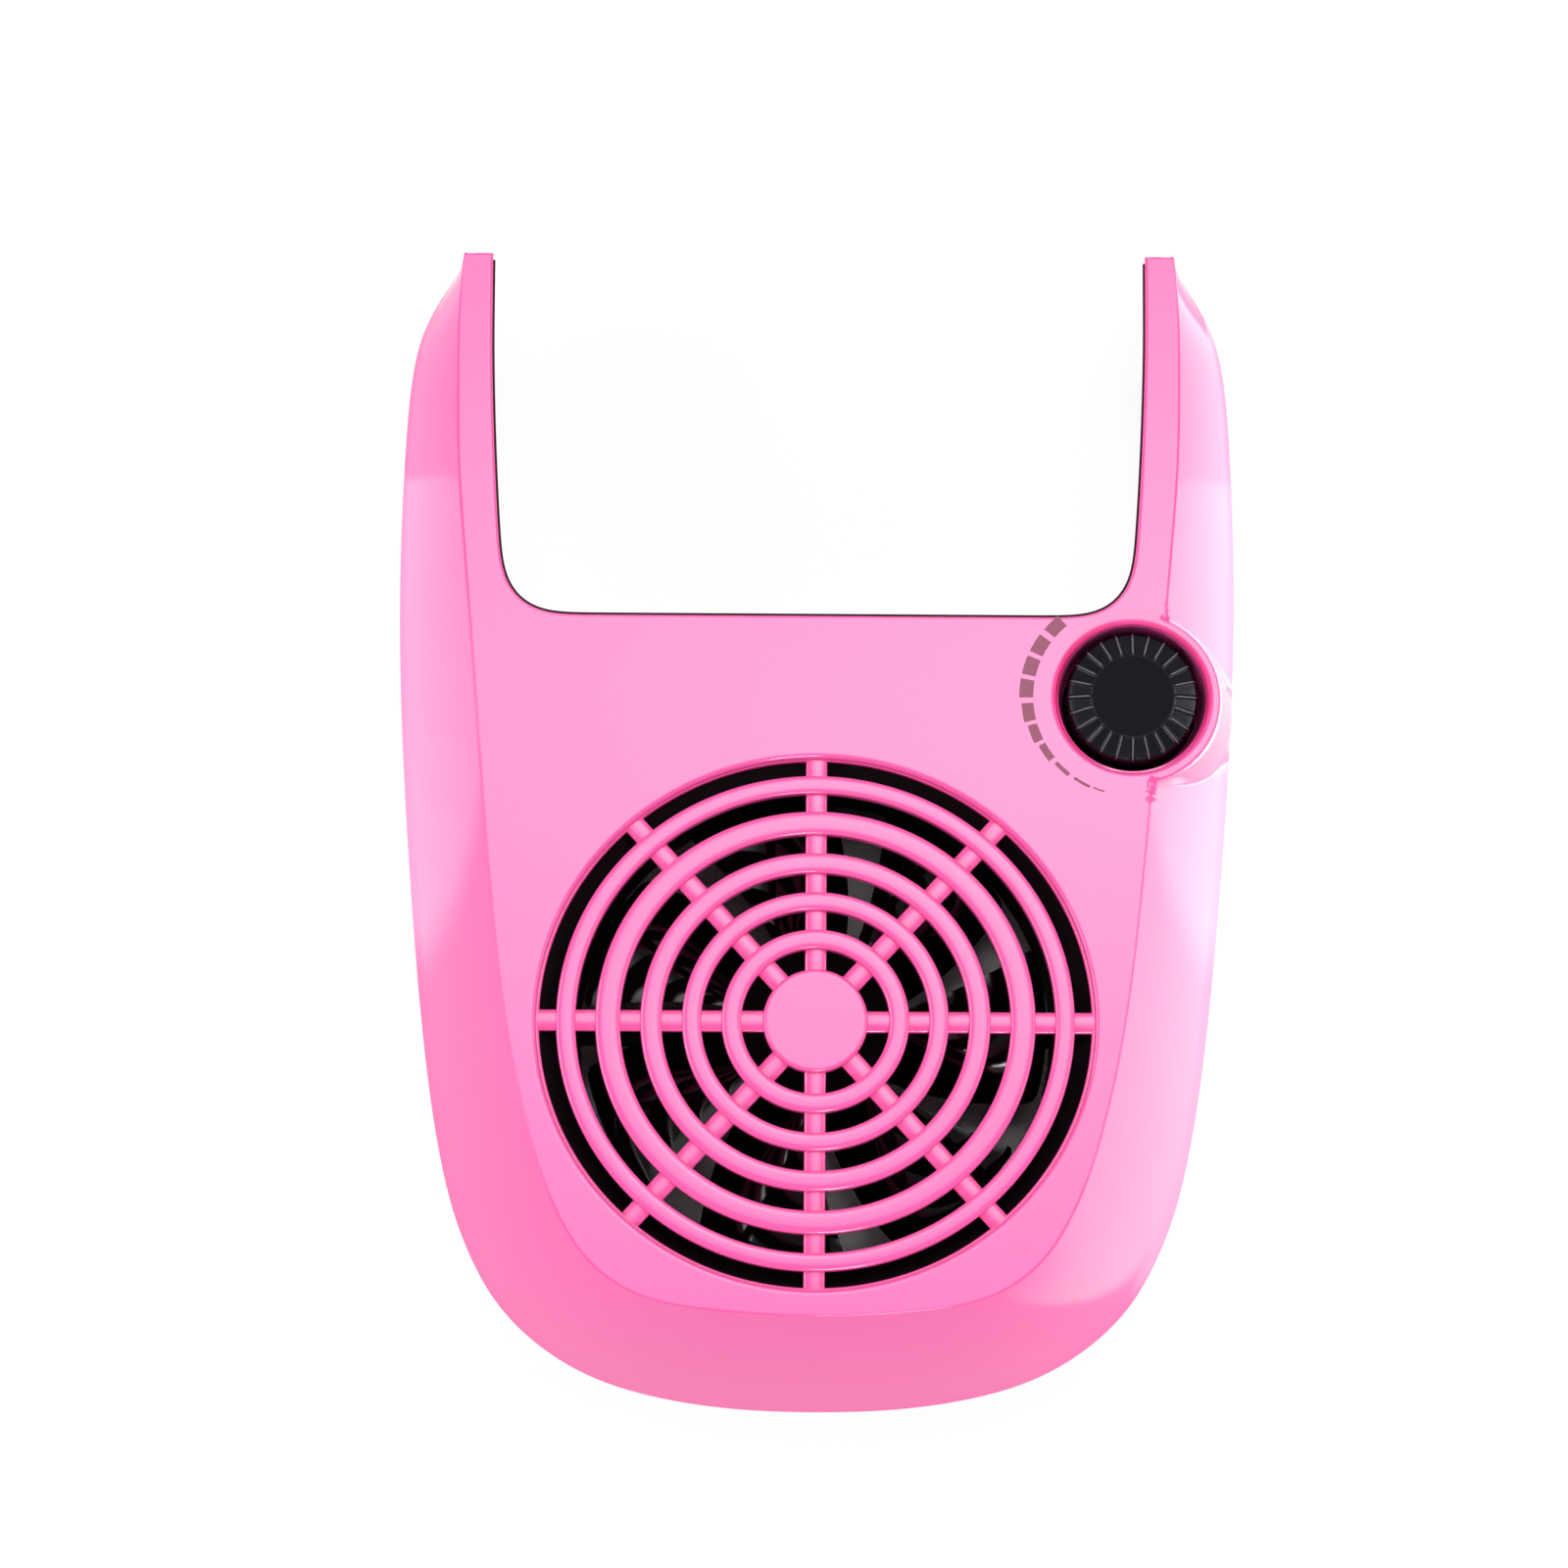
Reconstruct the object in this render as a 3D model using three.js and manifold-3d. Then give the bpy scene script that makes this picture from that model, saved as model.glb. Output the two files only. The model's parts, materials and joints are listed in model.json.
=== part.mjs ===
// Nail dust collector: a desk-top suction unit for a nail salon, modelled as the assembly it is.
// Millimetres, +Z up. The origin is on the table under the middle of the footprint.
// -Y is the front, over the fan. +Y is the rear, where two arms flank an open notch.
import * as THREE from "three";
import { mergeVertices } from "three/addons/utils/BufferGeometryUtils.js";
import Module from "manifold-3d";

const wasm = await Module();
wasm.setup();

// ---- Driving dimensions -------------------------------------------------------------------

const GAP = 0.3; // what pieces that touch keep between them
const WALL = 2.4; // moulded wall thickness
const SLOPE_WALL = 2.8; // the same wall measured level through the sloping sides
const FRONT_Y = -146;
const REAR_Y = 146;

// Half outlines from the middle of the front edge to an arm's tip. Point n of one matches point n
// of the other, so the cover's sloping side runs between them.
const RIM_OUTLINE = [
  [0, FRONT_Y], [30, -144.2], [57, -137], [77, -122], [87.9, -102.4], [93.6, -82], [98.1, -53],
  [102, -13], [104.8, 27], [105.8, 60], [105.2, 92], [103.2, 119], [99.3, 132], [91.2, REAR_Y],
];
const CREASE_OUTLINE = [
  [0, -124.6], [22, -123.5], [42, -120.2], [55.5, -111], [64.5, -95.5], [70, -79], [75.7, -53],
  [80.6, -13], [84.6, 30], [87.4, 60], [90, 88], [90.8, 112], [91, 130], [90.2, REAR_Y],
];
const OUTLINE_STEPS = 2; // samples between neighbouring outline points
const SIDE_BULGE = 1.2; // how far the sloping side swells at mid height

// The top is a shallow crown along Y, highest near the front.
const CROWN_Z = 70;
const CROWN_Y = -130;
const CROWN_RADIUS = 1400;
const topHeight = (y) => CROWN_Z - (y - CROWN_Y) ** 2 / (2 * CROWN_RADIUS);

const RIM_Z = 30; // where the top cover meets the bottom case
const FLOOR_Z = 4; // underside of the bottom case
const CASE_TOP_Z = RIM_Z - GAP;
const CASE_INSET = 0.6; // the case sits this far inside the cover's rim
const CASE_TAPER = 3.4; // and draws in this much more at its underside

// The notch: a straight inner edge, two round corners and gently flaring sides.
const NOTCH_Y = 49.8;
const NOTCH_FLAT = 62;
const NOTCH_CORNER = [79, 65];
const NOTCH_CORNER_PULL = 77.2;
const NOTCH_SIDE_PULL = [81.1, 92];
const NOTCH_SIDE_END = [81.6, 122];
const NOTCH_Z = 60; // the height at which the notch has these sizes
const NOTCH_DRAFT = 0.0008; // and how much of its width it gains per millimetre below that
const BEYOND = 30; // cutters run this far past the solid

// Intake grille. Its rings widen sideways into slight ellipses towards the rim.
const FAN_Y = -52.5;
const OPENING_R = 67;
const OVAL = 0.018;
const RINGS = [[18, 22.8], [27.7, 32.3], [37.2, 42.3], [47.1, 53], [57.7, 62.3]];
const HUB_R = 12.8;
const SPOKE_WIDTH = 5.3;
const SPOKE_ANGLES = [0, 47.5, 90, 132.5, 180, 227.5, 270, 312.5];
const RING_TOP = 0.2; // below the cover's surface
const SPOKE_TOP = 2.1;
const GRILLE_DEPTH = 4.7;
const FLANGE_R = 70.3;
const FLANGE_SEAT = 1.8;

// Fan.
const FAN_BORE_R = 58.8;
const FAN_FRAME_R = 61.5;
const FAN_Z = [RIM_Z, 55];
const LUG_OFFSET = 48;
const BLADES = 7;
const BLADE_TIP_R = 57.4;
const BLADE_PHASE = -10.6; // degrees
const ROTOR_HUB_R = 20;

// Speed control.
const KNOB = { x: 78, y: 29, r: 16.2, top: 64, bottom: 48.8, flutes: 24 };
const BOSS_R = 22;
const WELL_R = 18.8;
const WELL_FLOOR_Z = 47;
const BOARD_Z = 32.5;
const BOARD_TOP = BOARD_Z + 1.6;

// Filter drawer, which slides out of the notch wall along +Y.
const SLEEVE = { x: 55.8, y0: 3, y1: 45.5, z0: 6.7, z1: 29.4 };
const SLOT = { x: 53.4, z0: 8, z1: 27.8 };
const TRAY = { x: 52.8, y0: 5, y1: 50.6, z0: 8.6, z1: 27.2 };

const SCREW_SPOTS = [[80, -84], [88, -14], [93, 100]];
const FOOT_SPOTS = [[58, -96], [91.6, 118]];
const INLET = { y: 36, z: 17, seat: -102.6 };

// ---- Solids: geometry from three.js, joined and cut by manifold-3d -------------------------

function solidOf(geometry) {
  const bare = geometry.clone();
  for (const name of ["normal", "uv"]) bare.deleteAttribute(name);
  const merged = mergeVertices(bare, 1e-4);
  const index = merged.index.array;
  const make = (order) => {
    const faces = [];
    for (let i = 0; i < index.length; i += 3) {
      const [a, b, c] = order.map((k) => index[i + k]);
      if (a !== b && b !== c && a !== c) faces.push(a, b, c);
    }
    const vertProperties = merged.attributes.position.array;
    const triVerts = new Uint32Array(faces);
    return new wasm.Manifold(new wasm.Mesh({ numProp: 3, vertProperties, triVerts }));
  };
  const made = make([0, 1, 2]);
  return made.volume() < 0 ? make([0, 2, 1]) : made;
}

function geometryOf(solid) {
  const mesh = solid.getMesh();
  const geometry = new THREE.BufferGeometry();
  geometry.setAttribute("position", new THREE.BufferAttribute(mesh.vertProperties, 3));
  geometry.setIndex(new THREE.BufferAttribute(mesh.triVerts, 1));
  geometry.computeVertexNormals();
  return geometry;
}

const join = (...solids) => solids.reduce((a, b) => a.add(b));
const cut = (solid, ...tools) => tools.reduce((a, b) => a.subtract(b), solid);
const mirrored = (spots) => spots.flatMap(([x, y]) => [[x, y], [-x, y]]);

function cylinder(r, z0, z1, { x = 0, y = 0, segments = 24, top = r } = {}) {
  const geometry = new THREE.CylinderGeometry(top, r, z1 - z0, segments);
  geometry.rotateX(Math.PI / 2).translate(x, y, (z0 + z1) / 2);
  return solidOf(geometry);
}

function box(x0, x1, y0, y1, z0, z1) {
  const geometry = new THREE.BoxGeometry(x1 - x0, y1 - y0, z1 - z0);
  return solidOf(geometry.translate((x0 + x1) / 2, (y0 + y1) / 2, (z0 + z1) / 2));
}

function extrude(points, z0, z1) {
  const shape = new THREE.Shape(points.map(([x, y]) => new THREE.Vector2(x, y)));
  const geometry = new THREE.ExtrudeGeometry(shape, { depth: z1 - z0, bevelEnabled: false });
  return solidOf(geometry.translate(0, 0, z0));
}

// profile holds [radius, height] pairs that close on themselves or start and end on the axis.
function lathe(profile, { x = 0, y = 0, segments = 24 } = {}) {
  const points = profile.map(([r, z]) => new THREE.Vector2(r, z));
  const geometry = new THREE.LatheGeometry(points, segments);
  return solidOf(geometry.rotateX(Math.PI / 2).translate(x, y, 0));
}

// A closed skin over rings that hold the same number of points, with both ends capped.
function loft(rings) {
  const count = rings[0].length;
  const positions = rings.flat().flatMap(([x, y, z]) => [x, y, z]);
  const faces = [];
  for (let k = 0; k + 1 < rings.length; k++)
    for (let i = 0; i < count; i++) {
      const a = k * count + i;
      const b = k * count + ((i + 1) % count);
      faces.push(a, b, b + count, a, b + count, a + count);
    }
  const cap = (ring) => {
    const flat = ring.map(([x, y]) => new THREE.Vector2(x, y));
    return THREE.ShapeUtils.triangulateShape(flat, []);
  };
  const last = (rings.length - 1) * count;
  for (const [a, b, c] of cap(rings[0])) faces.push(c, b, a);
  for (const [a, b, c] of cap(rings.at(-1))) faces.push(a + last, b + last, c + last);
  const geometry = new THREE.BufferGeometry();
  geometry.setAttribute("position", new THREE.Float32BufferAttribute(positions, 3));
  return solidOf(geometry.setIndex(faces));
}

// A closed hoop: every ring of points joins the next, and the last joins the first.
function hoop(rings) {
  const count = rings[0].length;
  const faces = [];
  rings.forEach((_, k) => {
    const here = k * count;
    const next = ((k + 1) % rings.length) * count;
    for (let i = 0; i < count; i++) {
      const j = (i + 1) % count;
      faces.push(here + i, here + j, next + j, here + i, next + j, next + i);
    }
  });
  const geometry = new THREE.BufferGeometry();
  const positions = rings.flat().flat();
  geometry.setAttribute("position", new THREE.Float32BufferAttribute(positions, 3));
  return solidOf(geometry.setIndex(faces));
}

// ---- Outlines ------------------------------------------------------------------------------

function smooth(halfOutline) {
  const right = [...halfOutline].reverse();
  const left = halfOutline.slice(1).map(([x, y]) => [-x, y]);
  const knots = [...right, ...left].map(([x, y]) => new THREE.Vector3(x, y, 0));
  const curve = new THREE.CatmullRomCurve3(knots, false, "centripetal");
  const samples = curve.getPoints((knots.length - 1) * OUTLINE_STEPS);
  return samples.map((p) => [p.x, p.y]).reverse();
}

// Moves an open line of points sideways, to the left of its direction of travel.
function shift(line, distance) {
  return line.map(([x, y], i) => {
    const [ax, ay] = line[Math.max(0, i - 1)];
    const [bx, by] = line[Math.min(line.length - 1, i + 1)];
    const length = Math.hypot(bx - ax, by - ay);
    return [x - ((by - ay) / length) * distance, y + ((bx - ax) / length) * distance];
  });
}

const RIM = smooth(RIM_OUTLINE); // from the left arm's tip round the front to the right arm's
const CREASE = smooth(CREASE_OUTLINE);

// The cover's side at a share of the way up from the rim to the crease.
function sideRing(share, inset) {
  const bulge = SIDE_BULGE * 4 * share * Math.max(0, 1 - share);
  const line = RIM.map(([x, y], i) => {
    const [cx, cy] = CREASE[i];
    return [x + (cx - x) * share, y + (cy - y) * share];
  });
  const moved = shift(line, inset - bulge);
  return moved.map(([x, y], i) => [x, y, RIM_Z + (topHeight(CREASE[i][1]) - RIM_Z) * share]);
}

function notchLine() {
  const corner = new THREE.QuadraticBezierCurve(
    new THREE.Vector2(NOTCH_FLAT, NOTCH_Y),
    new THREE.Vector2(NOTCH_CORNER_PULL, NOTCH_Y),
    new THREE.Vector2(...NOTCH_CORNER),
  );
  const side = new THREE.QuadraticBezierCurve(
    new THREE.Vector2(...NOTCH_CORNER),
    new THREE.Vector2(...NOTCH_SIDE_PULL),
    new THREE.Vector2(...NOTCH_SIDE_END),
  );
  const right = [...corner.getPoints(8), ...side.getPoints(4).slice(1)].map((p) => [p.x, p.y]);
  right.push([NOTCH_SIDE_END[0], REAR_Y + BEYOND]);
  return [...right.map(([x, y]) => [-x, y]).reverse(), ...right];
}

// The notch as a cutter, widened by grow on its three sides. Its arms lean apart downwards.
function notch(grow) {
  const line = shift(notchLine(), -grow);
  const ring = (z) => line.map(([x, y]) => [x * (1 + NOTCH_DRAFT * (NOTCH_Z - z)), y, z]);
  return loft([ring(-BEYOND), ring(CROWN_Z + BEYOND)]);
}

// Everything below the crowned top surface lowered by drop.
function underTop(drop) {
  const steps = 20;
  const y0 = FRONT_Y - BEYOND;
  const y1 = REAR_Y + BEYOND;
  const shape = new THREE.Shape();
  shape.moveTo(y0, -BEYOND);
  shape.lineTo(y1, -BEYOND);
  for (let i = 0; i <= steps; i++) {
    const y = y1 + ((y0 - y1) * i) / steps;
    shape.lineTo(y, topHeight(y) - drop);
  }
  const width = 2 * (RIM_OUTLINE[9][0] + BEYOND);
  const geometry = new THREE.ExtrudeGeometry(shape, { depth: width, bevelEnabled: false });
  const [x, y, z] = [[1, 0, 0], [0, 1, 0], [0, 0, 1]].map((v) => new THREE.Vector3(...v));
  geometry.translate(0, 0, -width / 2).applyMatrix4(new THREE.Matrix4().makeBasis(y, z, x));
  return solidOf(geometry);
}

function ovalPoint(r, angle) {
  const stretch = (OVAL * r) / OPENING_R;
  return [r * (1 + stretch) * Math.cos(angle), FAN_Y + r * (1 - stretch) * Math.sin(angle)];
}

function oval(r, segments = 48) {
  return Array.from({ length: segments }, (_, i) => ovalPoint(r, (2 * Math.PI * i) / segments));
}

const behind = (y) => box(-200, 200, y, REAR_Y + 2 * BEYOND, -BEYOND, CROWN_Z + BEYOND);

// ---- Housing -------------------------------------------------------------------------------

function topCover() {
  const shares = [0, 0.5, 1, 1.12];
  const innerShares = [-0.1, 0.5, 1, 1.12];
  const knobAt = { x: KNOB.x, y: KNOB.y, segments: 40 };
  const body = loft(shares.map((s) => sideRing(s, 0)));
  const boss = cylinder(BOSS_R, RIM_Z, CROWN_Z + 5, knobAt);
  const outside = join(body, boss).intersect(underTop(0));
  const wellShell = cylinder(BOSS_R, WELL_FLOOR_Z - 2, CROWN_Z + 5, knobAt);
  const hollow = cut(
    loft(innerShares.map((s) => sideRing(s, SLOPE_WALL))).intersect(underTop(WALL)),
    notch(WALL),
    behind(REAR_Y - WALL),
    wellShell,
  );
  const underWell = cylinder(BOSS_R - WALL, RIM_Z - 5, WELL_FLOOR_Z - 2, knobAt);
  const seat = extrude(oval(FLANGE_R + 1.7), 20, CROWN_Z + 5).intersect(underTop(FLANGE_SEAT));
  const groove = cut(notch(1.2).intersect(underTop(0.5)), underTop(2.1));
  let cover = cut(
    outside,
    notch(0),
    behind(REAR_Y),
    hollow,
    cut(underWell, behind(NOTCH_Y - WALL)),
    extrude(oval(OPENING_R), 20, CROWN_Z + 5),
    seat,
    groove,
    cylinder(WELL_R, WELL_FLOOR_Z, CROWN_Z + 5, knobAt),
    cylinder(4.6, RIM_Z, WELL_FLOOR_Z + 1, { x: KNOB.x, y: KNOB.y }),
  );
  for (const [x, y] of mirrored(SCREW_SPOTS)) {
    const post = cylinder(3.6, 33.5, CROWN_Z, { x, y, segments: 12 }).intersect(outside);
    cover = join(cover, post.intersect(underTop(0.5)));
    cover = cut(cover, cylinder(1.7, 30, 42, { x, y, segments: 10 }));
  }
  return cover;
}

function bottomCase() {
  const ring = (inset, z) => shift(RIM, inset).map(([x, y]) => [x, y, z]);
  const taper = CASE_INSET + CASE_TAPER;
  const outside = cut(
    loft([ring(taper, FLOOR_Z), ring(1.8, 9.5), ring(CASE_INSET, CASE_TOP_Z)]),
    notch(0.8),
    behind(REAR_Y - CASE_INSET),
  );
  const hollow = cut(
    loft([ring(taper + WALL, FLOOR_Z + WALL), ring(1.8 + WALL, 10.5), ring(CASE_INSET + WALL, 31)]),
    notch(0.8 + WALL),
    behind(REAR_Y - CASE_INSET - WALL),
  );
  let made = cut(outside, hollow);
  for (const [x, y] of mirrored(SCREW_SPOTS)) {
    made = join(made, cylinder(4.2, FLOOR_Z + 1, 33.2, { x, y, segments: 14 }));
    made = cut(
      made,
      cylinder(1.7, 0, 40, { x, y, segments: 10 }),
      cylinder(3.4, 0, 8, { x, y, segments: 14 }),
    );
  }
  for (const [x, y] of fanLugSpots()) {
    made = join(made, cylinder(4.2, FLOOR_Z + 1, FAN_Z[0] - GAP, { x, y, segments: 12 }));
    made = cut(made, cylinder(1.5, 12, 40, { x, y, segments: 10 }));
  }
  for (const [x, y] of [[84, 15], [84, 43]]) {
    made = join(made, cylinder(2.6, FLOOR_Z + 1, BOARD_Z - GAP, { x, y, segments: 16 }));
  }
  const feet = mirrored(FOOT_SPOTS).map(([x, y]) => cylinder(5.8, 0, 5, { x, y }));
  const slot = box(-SLOT.x, SLOT.x, 40, 60, SLOT.z0, SLOT.z1);
  const inletSeat = inletPiece([[0, -8], [7.6, -8], [7.6, 0], [0, 0]]);
  const inletHole = inletPiece([[0, -1], [4.3, -1], [4.3, 8], [0, 8]]);
  return cut(made, ...feet, slot, inletSeat, inletHole);
}

function caseScrew(x, y) {
  const profile = [
    [0, 6.4], [0.9, 6.4], [1.1, 5], [2.4, 5], [3, 5.7], [3, 7.7], [1.4, 7.7], [1.4, 39], [0, 41],
  ];
  return lathe(profile, { x, y, segments: 10 });
}

function foot(x, y) {
  return lathe([[0, 0], [4.6, 0], [5.4, 0.8], [5.4, 4.7], [0, 4.7]], { x, y, segments: 20 });
}

function notchSeal() {
  const strip = cut(notch(0.9), notch(-0.45), behind(REAR_Y - GAP));
  return cut(strip.intersect(underTop(0.8)), underTop(1.8));
}

// The grille is built under a flat top at height 0, and then laid along the crowned surface.
function intakeGrille() {
  const band = (inner, outer, top, bottom) =>
    cut(extrude(oval(outer), -bottom, -top), extrude(oval(inner), -bottom - 1, 1));
  const rings = RINGS.map(([inner, outer]) => band(inner, outer, RING_TOP, GRILLE_DEPTH));
  const flange = band(OPENING_R - 0.6, FLANGE_R, SPOKE_TOP, GRILLE_DEPTH);
  const spokes = SPOKE_ANGLES.map((degrees) => {
    const angle = (degrees * Math.PI) / 180;
    const bar = new THREE.BoxGeometry(FLANGE_R - 8, SPOKE_WIDTH, GRILLE_DEPTH - SPOKE_TOP);
    bar.translate((FLANGE_R + 4) / 2, 0, -(GRILLE_DEPTH + SPOKE_TOP) / 2);
    return solidOf(bar.rotateZ(angle).translate(0, FAN_Y, 0));
  });
  const hub = extrude(oval(HUB_R, 32), -GRILLE_DEPTH, -RING_TOP);
  const inside = extrude(oval(FLANGE_R), -GRILLE_DEPTH, 0);
  const flat = geometryOf(join(hub, flange, ...rings, ...spokes).intersect(inside));
  const place = flat.attributes.position;
  for (let i = 0; i < place.count; i++) place.setZ(i, place.getZ(i) + topHeight(place.getY(i)));
  flat.computeVertexNormals();
  return solidOf(flat);
}

// A funnel from the grille's flange down to the round mouth of the fan.
function intakeFunnel() {
  const segments = 48;
  const rings = Array.from({ length: segments }, (_, i) => {
    const angle = (2 * Math.PI * i) / segments;
    const low = (r) => [r * Math.cos(angle), FAN_Y + r * Math.sin(angle), FAN_Z[1] + GAP];
    const high = (r) => {
      const [x, y] = ovalPoint(r, angle);
      return [x, y, topHeight(y) - GRILLE_DEPTH - GAP];
    };
    return [low(FAN_BORE_R), high(66.4), high(68.6), low(FAN_FRAME_R)];
  });
  return hoop(rings);
}

// ---- Fan and its motor ---------------------------------------------------------------------

function fanLugSpots() {
  return [[1, 1], [-1, 1], [-1, -1], [1, -1]].map(([a, b]) => [
    a * LUG_OFFSET,
    FAN_Y + b * LUG_OFFSET,
  ]);
}

const atFan = { x: 0, y: FAN_Y };

function fanFrame() {
  const [z0, z1] = FAN_Z;
  const ring = cylinder(FAN_FRAME_R, z0, z1, { ...atFan, segments: 48 });
  const lugs = fanLugSpots().map(([x, y]) => {
    const arm = box(x - 6, x + 6, y - 6, y + 6, z0, z0 + 4);
    return arm.intersect(cylinder(74, z0, z1, { ...atFan, segments: 48 }));
  });
  const bore = cylinder(FAN_BORE_R, z0 - 1, z1 + 1, { ...atFan, segments: 48 });
  const struts = [0, 90, 180, 270].map((degrees) => {
    const bar = new THREE.BoxGeometry(42, 5, 3.6).translate(39, 0, z0 + 1.8);
    return solidOf(bar.rotateZ((degrees * Math.PI) / 180).translate(0, FAN_Y, 0));
  });
  const base = cylinder(21.5, z0, z0 + 2.2, atFan);
  const tube = cylinder(5.8, z0, z0 + 18, atFan);
  const open = cylinder(4.4, z0 - 1, z0 + 30, atFan);
  const holes = fanLugSpots().map(([x, y]) => cylinder(1.7, 20, 40, { x, y, segments: 10 }));
  return cut(join(cut(join(ring, ...lugs), bore), ...struts, base, tube), open, ...holes);
}

// One blade: a thin cambered plate whose rear edge is lower than its leading edge.
function fanBlade(index) {
  const radii = [ROTOR_HUB_R - 1.5, 29, 39, 48.5, BLADE_TIP_R];
  const chordSteps = 6;
  const thickness = 1.5;
  const start = ((BLADE_PHASE + (360 / BLADES) * index) * Math.PI) / 180;
  const point = (r, c, side) => {
    const along = (r - ROTOR_HUB_R) / (BLADE_TIP_R - ROTOR_HUB_R);
    const span = (0.78 - 0.12 * along) * (c - 0.5);
    const sweep = 0.22 * along;
    const rise = (17 - 4 * along) * (c - 0.5);
    const camber = 2.2 * (1 - (2 * c - 1) ** 2);
    const angle = start + sweep + span;
    const z = 43.5 + rise + camber + side * thickness * 0.5;
    return [r * Math.cos(angle), FAN_Y + r * Math.sin(angle), z];
  };
  const shares = Array.from({ length: chordSteps }, (_, i) => i / (chordSteps - 1));
  const rings = radii.map((r) => [
    ...shares.map((c) => point(r, c, -1)),
    ...[...shares].reverse().map((c) => point(r, c, 1)),
  ]);
  const count = rings[0].length;
  const faces = [];
  for (let k = 0; k + 1 < rings.length; k++)
    for (let i = 0; i < count; i++) {
      const a = k * count + i;
      const b = k * count + ((i + 1) % count);
      faces.push(a, b, b + count, a, b + count, a + count);
    }
  const last = (rings.length - 1) * count;
  for (let i = 0; i + 1 < chordSteps; i++) {
    const [a, b, c, d] = [i, i + 1, count - 2 - i, count - 1 - i];
    faces.push(c, b, a, d, c, a, a + last, b + last, c + last, a + last, c + last, d + last);
  }
  const geometry = new THREE.BufferGeometry();
  geometry.setAttribute("position", new THREE.Float32BufferAttribute(rings.flat().flat(), 3));
  return solidOf(geometry.setIndex(faces));
}

function fanRotor() {
  const cup = lathe(
    [
      [0, 50.6], [18.4, 50.6], [18.4, 35], [ROTOR_HUB_R, 35], [ROTOR_HUB_R, 51.2],
      [ROTOR_HUB_R - 0.6, 52.4], [ROTOR_HUB_R - 2, 53], [0, 53],
    ],
    { ...atFan, segments: 48 },
  );
  const boss = cylinder(3.4, 49, 51, { ...atFan, segments: 20 });
  const blades = Array.from({ length: BLADES }, (_, i) => fanBlade(i));
  const inside = cylinder(18.4, 30, 50.6, { ...atFan, segments: 48 });
  const shaftHole = cylinder(1.8, 30, 50.8, { ...atFan, segments: 16 });
  return cut(join(cup, cut(join(...blades), inside), boss), shaftHole);
}

const tubeAt = (inner, outer, z0, z1, place, segments = 28) =>
  cut(
    cylinder(outer, z0, z1, { ...place, segments }),
    cylinder(inner, z0 - 1, z1 + 1, { ...place, segments }),
  );

// Four broad poles on a ring, the core that the coils are wound on.
function statorCore() {
  const ring = cylinder(8.4, 37.5, 46, atFan);
  const poles = [0, 1, 2, 3].map((i) => {
    const neck = new THREE.BoxGeometry(10, 3.6, 8.5).translate(9, 0, 41.75);
    return solidOf(neck.rotateZ((i * Math.PI) / 2).translate(0, FAN_Y, 0));
  });
  const shoes = cut(
    tubeAt(13.6, 16.2, 37.5, 46, atFan, 36),
    ...[45, 135].map((degrees) => {
      const slit = new THREE.BoxGeometry(40, 3, 12).translate(0, 0, 41.75);
      return solidOf(slit.rotateZ((degrees * Math.PI) / 180).translate(0, FAN_Y, 0));
    }),
  );
  const bore = cylinder(6.1, 30, 50, atFan);
  return cut(join(ring, ...poles, shoes), bore);
}

// The coil on one pole: a rounded loop of wire round the neck.
function statorCoil(index) {
  const outer = new THREE.BoxGeometry(3.2, 8, 12.4).translate(10.9, 0, 41.75);
  const neck = new THREE.BoxGeometry(6, 4.4, 9.3).translate(11.2, 0, 41.75);
  const angle = (index * Math.PI) / 2;
  const place = (g) => solidOf(g.rotateZ(angle).translate(0, FAN_Y, 0));
  return cut(place(outer), place(neck));
}

// ---- Speed control -------------------------------------------------------------------------

function speedKnob() {
  const { x, y, r, top, bottom, flutes } = KNOB;
  const steps = flutes * 2;
  const fluted = Array.from({ length: steps }, (_, i) => {
    const angle = (2 * Math.PI * i) / steps;
    const radius = r - (i % 2 ? 0.7 : 0);
    return [x + radius * Math.cos(angle), y + radius * Math.sin(angle)];
  });
  const crown = lathe(
    [[0, 49], [18, 49], [18, 61.4], [r, 61.4], [r * 0.62, top - 0.3], [r * 0.56, top], [0, top]],
    { x, y, segments: 48 },
  );
  const body = extrude(fluted, bottom, top).intersect(crown);
  const skirt = cylinder(r + 0.6, bottom, bottom + 1.6, { x, y, segments: 48 });
  const recess = cylinder(8, bottom - 1, 51.4, { x, y });
  const bore = cylinder(3.3, bottom - 1, 60, { x, y, segments: 24 });
  return cut(join(body, skirt), recess, bore);
}

const atKnob = { x: KNOB.x, y: KNOB.y };

function potentiometerBody() {
  const can = cylinder(8.4, BOARD_TOP + GAP, 44.7, atKnob);
  const bushing = cylinder(4.2, 44, 50.6, atKnob);
  const bore = cylinder(3.3, 38, 52, { ...atKnob, segments: 24 });
  return cut(join(can, bushing), bore);
}

function potentiometerShaft() {
  const flat = box(KNOB.x + 2.2, KNOB.x + 5, KNOB.y - 5, KNOB.y + 5, 52, 61);
  return cut(cylinder(3, 39, 59.6, { ...atKnob, segments: 24 }), flat);
}

function potentiometerNut() {
  const hexagon = cylinder(7.2, 48.1, 50.2, { ...atKnob, segments: 6 });
  return cut(hexagon, cylinder(4.5, 48, 51, atKnob));
}

function controlBoard() {
  const board = box(42, 93, 11, 46.3, BOARD_Z, BOARD_TOP);
  const holes = [[84, 15], [84, 43]].map(([x, y]) => cylinder(1.2, 30, 36, { x, y, segments: 12 }));
  return cut(board, ...holes);
}

function heatSink() {
  const z = [BOARD_TOP + GAP, 43.5];
  const plate = box(62, 64, 12.5, 27, ...z);
  const fins = [12.5, 17, 21.5, 25.7].map((y) => box(55.5, 62.5, y, y + 1.3, ...z));
  return join(plate, ...fins);
}

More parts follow.
